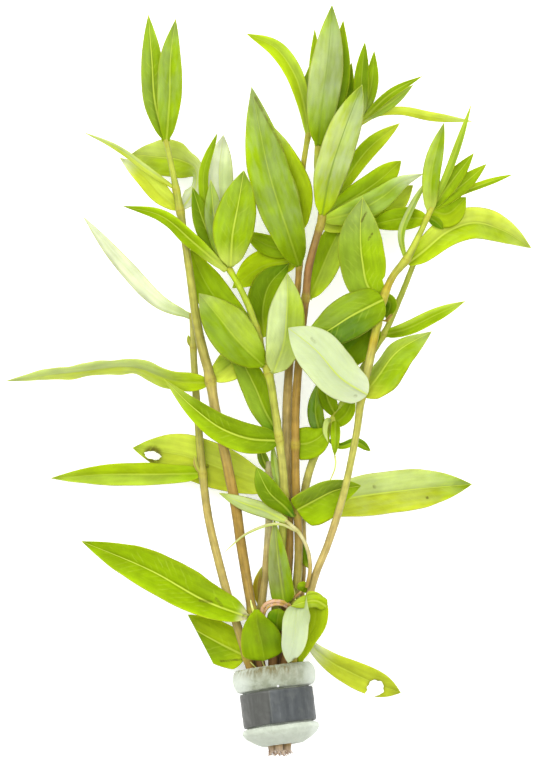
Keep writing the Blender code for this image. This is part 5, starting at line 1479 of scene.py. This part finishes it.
    def cut(self, leaf: bpy.types.Object, outline: np.ndarray,
            carried: dict[str, np.ndarray]) -> dict[str, np.ndarray]:
        """Cut an upright hole through a leaf, and give the new points what their neighbours carry.

        Args:
            leaf: the leaf's object.
            outline: the hole's corners, x and y.
            carried: what each of the leaf's points carries.

        Returns:
            What each of its points carries now.
        """
        tree = KDTree(len(leaf.data.vertices))
        for vertex in leaf.data.vertices:
            tree.insert(vertex.co, vertex.index)
        tree.balance()
        ends = [np.column_stack([outline, np.full(len(outline), depth)]) for depth in self.cut_depth]
        cutter = Sheet(np.concatenate(ends), capped(2, len(outline))).build("cutter")
        modifier = leaf.modifiers.new("hole", "BOOLEAN")
        modifier.operation = "DIFFERENCE"
        modifier.object = cutter
        leaf.data = mesh = settled(leaf)
        bpy.data.objects.remove(cutter)
        bm = bmesh.new()
        bm.from_mesh(mesh)
        bmesh.ops.remove_doubles(bm, verts=bm.verts, dist=self.cut_merge * MM)
        bmesh.ops.triangulate(bm, faces=[face for face in bm.faces if len(face.verts) > 4],
                              ngon_method="BEAUTY")
        bm.to_mesh(mesh)
        bm.free()
        nearest = [tree.find(vertex.co)[1] for vertex in mesh.vertices]
        carried = {name: values[nearest] for name, values in carried.items()}
        store(mesh, carried)
        mesh.materials.clear()
        return carried

    def oval(self, x: float, y: float, first: float, second: float, turn: float) -> np.ndarray:
        """Points round an oval hole.

        Args:
            x: its middle's x.
            y: its middle's y.
            first: its first radius.
            second: its second radius.
            turn: how far the first is turned from +X.

        Returns:
            The points' x and y.
        """
        angles = np.arange(self.bite_sides) * math.tau / self.bite_sides
        ragged = 1.0
        for depth, lobes, start in zip(self.bite_ragged, self.bite_lobes, (x, y)):
            ragged = ragged + depth * np.sin(lobes * angles + start)
        wide, long = first * np.cos(angles) * ragged, second * np.sin(angles) * ragged
        turn = math.radians(turn)
        return np.stack([x + wide * math.cos(turn) - long * math.sin(turn),
                         y + wide * math.sin(turn) + long * math.cos(turn)], axis=1)

    def build(self) -> None:
        """Make every leaf, the large ones one by one and the young ones stem by stem."""
        skin = self.finish.material()
        for number, (name, (blade, tint)) in enumerate(LEAVES.items()):
            luck = np.random.default_rng(LEAF_SEED + number)
            stem = stem_of(name)
            sheet = self.sheet(stem, blade, tint, luck, MARKS.get(name), young=False)
            if name in FOLDS:
                sheet = sheet.joined(self.sheet(stem, *FOLDS[name], luck))
            leaf = sheet.build(name + "_blade")
            carried = sheet.carried
            holes = [self.oval(*hole) for hole in BITES.get(name, [])]
            holes += [np.array(BREAKS[name])] if name in BREAKS else []
            for hole in holes:
                carried = self.cut(leaf, hole, carried)
            leaf.data.materials.append(skin)
            hand_over(leaf, [name], "leaf")
        for number, (stem, twigs) in enumerate(TWIGS.items()):
            luck = np.random.default_rng(YOUNG_SEED + number)
            sheets = [self.sheet(stem, *leaf, luck) for leaf in twigs + BUDS.get(stem, [])]
            tuft = reduce(Sheet.joined, sheets).build(stem + "_young_leaves")
            tuft.data.materials.append(skin)
            hand_over(tuft, [], "young leaves")


@dataclass
class Sweep:
    """A geometry tree that grows slightly uneven rounds along chains of points."""

    name: str
    finish: StalkFinish | ThreadFinish
    sides: int
    unevenness: float = 0.0
    grain: float = 0.45

    def __post_init__(self) -> None:
        """Lay the tree's nodes, and keep a value for each of its sizes by the socket's identifier."""
        tree = bpy.data.node_groups.new(self.name, "GeometryNodeTree")
        tree.interface.new_socket("Geometry", in_out="INPUT", socket_type="NodeSocketGeometry")
        self.sizes: dict[str, float] = {}
        for label, value in {"Unevenness": self.unevenness * MM, "Grain": self.grain / MM}.items():
            socket = tree.interface.new_socket(label, in_out="INPUT", socket_type="NodeSocketFloat")
            socket.default_value = value
            self.sizes[socket.identifier] = value
        tree.interface.new_socket("Geometry", in_out="OUTPUT", socket_type="NodeSocketGeometry")
        w = Wiring(tree)
        self.tree = tree
        given = w.node("NodeGroupInput").outputs
        curve = w.node("GeometryNodeMeshToCurve", {"Mesh": given["Geometry"]}).outputs[0]
        length = w.node("GeometryNodeSplineParameter").outputs["Length"]
        plugs = {"Geometry": curve, "Name": "length", "Value": length}
        curve = w.node("GeometryNodeStoreNamedAttribute", plugs, data_type="FLOAT").outputs[0]
        plugs = {"Resolution": self.sides, "Radius": 1.0}
        ring = w.node("GeometryNodeCurvePrimitiveCircle", plugs).outputs[0]
        place = w.node("GeometryNodeInputPosition").outputs[0]
        plugs = {"Geometry": ring, "Name": "rim", "Value": place}
        ring = w.node("GeometryNodeStoreNamedAttribute", plugs, data_type="FLOAT_VECTOR").outputs[0]
        girth = w.node("GeometryNodeInputNamedAttribute", {"Name": "girth"}, data_type="FLOAT").outputs[0]
        plugs = {"Curve": curve, "Profile Curve": ring, "Scale": girth, "Fill Caps": True}
        stalk = w.node("GeometryNodeCurveToMesh", plugs).outputs[0]
        lumps = w.times(w.minus(w.noise(place, given["Grain"], 2.0, 0.5), 0.5), 2.0, given["Unevenness"])
        normal = w.node("GeometryNodeInputNormal").outputs[0]
        offset = w.node("ShaderNodeVectorMath", {0: normal, "Scale": lumps}, operation="SCALE").outputs[0]
        stalk = w.node("GeometryNodeSetPosition", {"Geometry": stalk, "Offset": offset}).outputs[0]
        real = w.node("GeometryNodeRealizeInstances", {0: stalk}).outputs[0]
        soft = w.node("GeometryNodeSetShadeSmooth", {0: real}).outputs[0]
        plugs = {"Geometry": soft, "Material": self.finish.material()}
        w.node("NodeGroupOutput", {0: w.node("GeometryNodeSetMaterial", plugs).outputs[0]})

    def grow(self, name: str, runs: list[np.ndarray], carried: dict[str, np.ndarray]) -> bpy.types.Object:
        """Grow a piece along runs of points.

        Args:
            name: the piece's name.
            runs: the points of each run, whose first three values are x, y and z.
            carried: what the points of all runs carry, their girth among it.

        Returns:
            The piece as a plain mesh, at the origin.
        """
        edges, count = [], 0
        for run in runs:
            edges += [(count + i, count + i + 1) for i in range(len(run) - 1)]
            count += len(run)
        chain = bpy.data.meshes.new("chain")
        points = np.concatenate(runs)[:, :3] * MM
        chain.from_pydata([tuple(point) for point in points], edges, [])
        store(chain, carried)
        source = added("chain", chain)
        modifier = source.modifiers.new("growth", "NODES")
        modifier.node_group = self.tree
        for identifier, value in self.sizes.items():
            modifier[identifier] = value
        mesh = settled(source)
        bpy.data.objects.remove(source)
        mesh.name = name
        return added(name, mesh)


@dataclass
class Stalks:
    """The stems: tapered stalks grown along their routes, swollen and yellower at each joint."""

    finish: StalkFinish = field(default_factory=StalkFinish)
    step: float = 0.8
    sides: int = 18
    swell: float = 0.2
    joint_reach: float = 1.5
    unevenness: float = 0.09

    def carried(self, name: str, rows: np.ndarray) -> dict[str, np.ndarray]:
        """Find the girth and tones along a stem.

        Args:
            name: the stem.
            rows: x, y, z and radius along it.

        Returns:
            The values that its points carry.
        """
        joints = [blade.rib[0][:3] for leaf, (blade, _) in LEAVES.items() if stem_of(leaf) == name]
        joints += [blade.rib[0][:3] for blade, _ in TWIGS.get(name, [])]
        knot = np.zeros(len(rows))
        for joint in joints:
            middle = rows[np.argmin(np.linalg.norm(rows[:, :3] - joint, axis=1)), :3]
            away = np.linalg.norm(rows[:, :3] - middle, axis=1)
            knot = np.maximum(knot, np.exp(-((away / self.joint_reach) ** 2)))
        tones = STEM_TONES[name]
        light = lights(" ".join(tones.values()))
        tone = [np.interp(rows[:, 1], list(tones), light[:, i]) for i in range(3)]
        tone = np.stack([*tone, np.ones(len(rows))], axis=1)
        return {"girth": rows[:, 3] * (1 + self.swell * knot) * MM, "tone": tone, "knot": knot}

    def build(self) -> None:
        """Grow every stem."""
        sweep = Sweep("stalk", self.finish, self.sides, self.unevenness)
        for name, route in STEMS.items():
            rows = stepped(route, self.step)
            stalk = sweep.grow(name + "_stalk", [rows], self.carried(name, rows))
            hand_over(stalk, [name], "stem")


@dataclass
class Collar:
    """The foam wrap and the lead strip round it, on an axis that leans a little from +Y.

    A pair of numbers for lumps, grain or lines is how far apart they are and how high.
    """

    foam_finish: FoamFinish = field(default_factory=FoamFinish)
    lead_finish: LeadFinish = field(default_factory=LeadFinish)
    turn: float = 7.5
    skew: float = 0.06
    height: float = 10.5
    foam_floor: float = 0.15
    foam_sides: int = 144
    foam_step: float = 0.35
    foam_blur: tuple[int, ...] = (1, 3, 5, 3, 1)
    foam_lumps: tuple[float, float] = (5.0, 0.35)
    foam_grain: tuple[float, float] = (1.6, 0.14)
    foam_sink: float = 0.05
    held_to: float = 5.9
    held_edge: float = 0.3
    held_ease: float = 0.5
    held_gap: float = 0.1
    bore_rings: int = 24
    strip_radius: float = 11.0
    strip_thickness: float = 0.7
    strip_width: float = 10.2
    strip_overlap: float = 14.0
    strip_start: float = 88.0
    strip_gap: float = 0.3
    strip_stations: int = 260
    strip_rows: int = 26
    strip_rounding: float = 0.22
    strip_floors: tuple[float, float] = (0.0, 0.35)
    rim_width: float = 0.5
    wrinkle: float = 0.16
    fine_lines: tuple[float, float] = (1.1, 0.6)
    broad_lines: tuple[float, float] = (2.2, 0.7)
    line_spread: float = 7.0
    edge_pitch: float = 2.6
    edge_shift: float = 40.0

    def point(self, along: np.ndarray, across: np.ndarray, up: np.ndarray) -> np.ndarray:
        """Find points given along the collar's axis, across it and above it.

        Args:
            along: how far along the axis they are.
            across: how far to its right.
            up: how far above it.

        Returns:
            Their x, y and z.
        """
        turn = math.radians(self.turn)
        return np.stack([across * math.cos(turn) - along * math.sin(turn),
                         across * math.sin(turn) + along * math.cos(turn) + self.skew * up,
                         self.height + up + 0 * along], axis=-1)

    def lumps(self, points: np.ndarray, pitch: float, height: float) -> np.ndarray:
        """Read a smooth random height for each point.

        Args:
            points: where to read it.
            pitch: how far apart its lumps are.
            height: how high they are at most.

        Returns:
            The heights, above and below nought.
        """
        flat = points.reshape(-1, 3) / pitch
        return np.array([noise.noise(Vector(row)) for row in flat]).reshape(points.shape[:-1]) * height

    def foam(self) -> None:
        """Make the soft roll of foam, waisted by the strip, round its bore."""
        outside = np.array(FOAM_OUTSIDE)
        knots = distances(outside)
        reach = np.linspace(0, knots[-1], int(knots[-1] / self.foam_step))
        along, radius = (np.interp(reach, knots, values)[:, None] for values in outside.T)
        blur = np.array(self.foam_blur) / sum(self.foam_blur)
        radius[2:-2, 0] = np.convolve(radius[:, 0], blur, "valid")
        angles = np.arange(self.foam_sides) * math.tau / self.foam_sides
        across, up = radius * np.cos(angles), radius * np.sin(angles)
        shell = self.point(along + 0 * across, across, up)
        free = 1 - smooth(self.held_to - np.abs(along), -self.held_ease, self.held_edge)
        bulge = self.lumps(shell, *self.foam_lumps) + self.lumps(shell, *self.foam_grain)
        swollen = 1 + (bulge * free - self.foam_sink) / radius
        shell = self.point(along + 0 * across, across * swollen, up * swollen)
        under_strip = np.abs(along) < self.held_to - self.held_edge
        floor = np.where(under_strip, self.strip_thickness + self.held_gap, self.foam_floor)
        shell[..., 2] = np.maximum(shell[..., 2], floor)
        thirds = np.linspace(0, 2, self.bore_rings)
        places, half, tall, lift = (np.interp(thirds, [0, 1, 2], values)[:, None]
                                    for values in np.array(FOAM_BORE)[::-1].T)
        bore = self.point(places + 0 * angles, half * np.cos(angles), lift + tall * np.sin(angles))
        body = np.concatenate([shell, bore])
        faces = rings(len(body), self.foam_sides, looped=True)
        roll = Sheet(body.reshape(-1, 3), faces).build("foam_roll")
        roll.data.materials.append(self.foam_finish.material())
        hand_over(roll, ["foam_wrap"], "foam")

    def strip(self) -> None:
        """Make the lead strip, wound once round, its wrinkled outer end lapping over the inner one."""
        turns = math.radians(360 + self.strip_overlap)
        lap = math.radians(self.strip_overlap)
        angles = np.linspace(0, turns, self.strip_stations)
        outward = np.clip((angles - math.tau + lap) / lap, 0, 1)
        lift = ((self.strip_thickness + self.strip_gap) * outward)[:, None]
        heading = angles + math.radians(self.strip_start)
        edge = np.linspace(-0.5, 0.5, self.strip_rows)
        rim = (0.5 - np.abs(edge)) * self.strip_width
        rounding = self.strip_rounding * (1 - smooth(rim, 0, self.rim_width))
        course = np.stack([np.cos(heading), np.sin(heading), 0 * heading], axis=-1)
        wave = course * self.strip_radius
        spread = wave[:, None] + edge[None, :, None] * self.line_spread
        lines = self.lumps(wave, *self.fine_lines)[:, None] + self.lumps(spread, *self.broad_lines)
        side = self.lumps(wave + self.edge_shift, self.edge_pitch, self.wrinkle)
        outer = self.strip_radius + lift - rounding + self.wrinkle * lines
        inner = self.strip_radius - self.strip_thickness + lift
        inner = inner + rounding * 0.5 + self.wrinkle * lines * 0.3
        along = edge * self.strip_width + side[:, None] * (np.abs(edge) * 2)
        faces = []
        for radius, floor in zip((outer, inner), self.strip_floors):
            points = self.point(along, radius * course[:, :1], radius * course[:, 1:2])
            points[..., 2] = np.maximum(points[..., 2], floor)
            faces.append(points)
        band = np.concatenate([faces[0], faces[1][:, ::-1]], axis=1)
        end = (np.minimum(angles, turns - angles) * self.strip_radius)[:, None]
        wound = np.broadcast_to((heading * self.strip_radius)[:, None], along.shape)
        wrap = np.stack([wound, along, np.minimum(rim, end)], axis=-1)
        wrap = np.concatenate([wrap, wrap[:, ::-1]], axis=1)
        sheet = Sheet(band.reshape(-1, 3), capped(*band.shape[:2]), {"wrap": wrap.reshape(-1, 3)})
        strip = sheet.build("lead_band")
        strip.data.materials.append(self.lead_finish.material())
        hand_over(strip, ["lead_strip"], "strip")

    def build(self) -> None:
        """Make the foam and the strip."""
        self.foam()
        self.strip()


@dataclass
class Threads:
    """Thin trimmings grown along short routes: the arched stalk, fibres, a brown twig and torn ends."""

    sides: int = 8
    step: float = 0.3
    torn_stems: tuple[str, ...] = ("stem_b", "stem_d", "stem_f")
    torn_count: int = 34
    torn_length: tuple[float, float] = (0.7, 2.1)
    torn_girth: tuple[float, float] = (0.07, 0.17)
    torn_lean: float = 0.45
    torn_root: float = 0.3
    finishes: dict[str, ThreadFinish] = field(default_factory=lambda: {
        "arched_stalk": ThreadFinish("pink stalk", "ROSE PINK"),
        "pale_fibres": ThreadFinish("pale fibre", "PALE STRAW"),
        "brown_twig": ThreadFinish("brown twig", "BROWN RUST"),
        "torn_ends": ThreadFinish("torn fibre", "PITH UMBER"),
    })

    def build(self) -> None:
        """Grow the trimmings."""
        for name, routes in {**THREADS, "torn_ends": self.torn_routes()}.items():
            finish = self.finishes[name]
            runs = [stepped(route, self.step, 4) for route in routes]
            girth = np.concatenate(runs)[:, 3] * MM
            piece = Sweep(finish.name, finish, self.sides).grow(name, runs, {"girth": girth})
            hand_over(piece, [], "thread")

    def torn_routes(self) -> list[Route]:
        """Scatter short ragged fibres over the cut ends of the longest stems.

        Returns:
            A route for each fibre.
        """
        luck = np.random.default_rng(TORN_SEED)
        routes = []
        for name in self.torn_stems:
            x, y, z, radius = STEMS[name][0]
            for _ in range(self.torn_count):
                turn, out = luck.uniform(0, math.tau), radius * math.sqrt(luck.uniform(0, 1))
                length, girth = luck.uniform(*self.torn_length), luck.uniform(*self.torn_girth)
                lean = luck.normal(0, self.torn_lean, (2, 2))
                foot = np.array([x + out * math.cos(turn), y + self.torn_root, z + out * math.sin(turn)])
                middle = foot + [lean[0, 0] * length / 2, -length / 2, lean[0, 1] * length / 2]
                end = middle + [lean[1, 0] * length, -length / 2, lean[1, 1] * length]
                routes.append([(*foot, girth), (*middle, girth), (*end, girth / 3)])
        return routes


@dataclass
class Studio:
    """The pale floor, the soft lamps and the camera that looks straight down."""

    centre: tuple[float, float] = (-0.003, 0.09855)
    camera_height: float = 4.0
    focus_height: float = 0.018
    frame_height: float = 0.2277
    sensor: float = 24.0
    floor_size: float = 6.0
    air: float = 0.6
    lamps: tuple[tuple[str, tuple[float, float, float], float, float], ...] = (
        ("upper_left", (-0.55, 0.6, 1.1), 0.9, 12.0),
        ("upper_right", (0.6, 0.35, 0.9), 0.8, 6.0),
        ("overhead", (0.0, 0.1, 1.6), 1.2, 14.0),
    )
    finish: FloorFinish = field(default_factory=FloorFinish)

    def floor(self) -> None:
        """Lay the floor at z = 0."""
        half = self.floor_size / 2 / MM
        corners = np.array([(-1, -1, 0), (1, -1, 0), (1, 1, 0), (-1, 1, 0)]) * half
        floor = Sheet(corners, [(0, 1, 2, 3)]).build("pale_floor")
        floor.data.materials.append(self.finish.material())

    def lamp(self, name: str, place: tuple[float, float, float], size: float, power: float) -> None:
        """Hang a soft square lamp that faces the bunch.

        Args:
            name: its name.
            place: where it hangs, in metres.
            size: its width.
            power: its watts.
        """
        data = bpy.data.lights.new(name, "AREA")
        data.size = size
        data.energy = power
        lamp = added(name, data)
        lamp.location = place
        aim = Vector((*self.centre, 0.0)) - Vector(place)
        lamp.rotation_euler = aim.to_track_quat("-Z", "Y").to_euler()

    def world(self) -> None:
        """Fill the air round the bunch with even pale light."""
        world = bpy.data.worlds.new("pale air")
        world.use_nodes = True
        w = Wiring(world.node_tree)
        air = w.node("ShaderNodeBackground", {"Color": WHITE, "Strength": self.air})
        w.node("ShaderNodeOutputWorld", {"Surface": air.outputs[0]})
        bpy.context.scene.world = world

    def camera(self) -> None:
        """Set the camera above the bunch, with the leaf tips at the top of the picture."""
        data = bpy.data.cameras.new("above")
        data.sensor_fit = "VERTICAL"
        data.sensor_height = self.sensor
        data.lens = self.sensor * (self.camera_height - self.focus_height) / self.frame_height
        data.clip_start = 0.1
        data.clip_end = 100.0
        eye = added("above", data)
        eye.location = (*self.centre, self.camera_height)
        bpy.context.scene.camera = eye

    def build(self) -> None:
        """Set up the whole studio."""
        self.floor()
        self.camera()
        self.world()
        for name, place, size, power in self.lamps:
            self.lamp(name, place, size, power)
        bpy.context.scene.view_settings.view_transform = "Standard"
        log.info("studio set")


def main() -> None:
    """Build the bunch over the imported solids, then the studio round it."""
    logging.basicConfig(level=logging.INFO, format="%(name)s: %(message)s")
    for sub_assembly in (Collar(), Stalks(), Threads(), Foliage(), Studio()):
        sub_assembly.build()


if __name__ == "__main__":
    main()
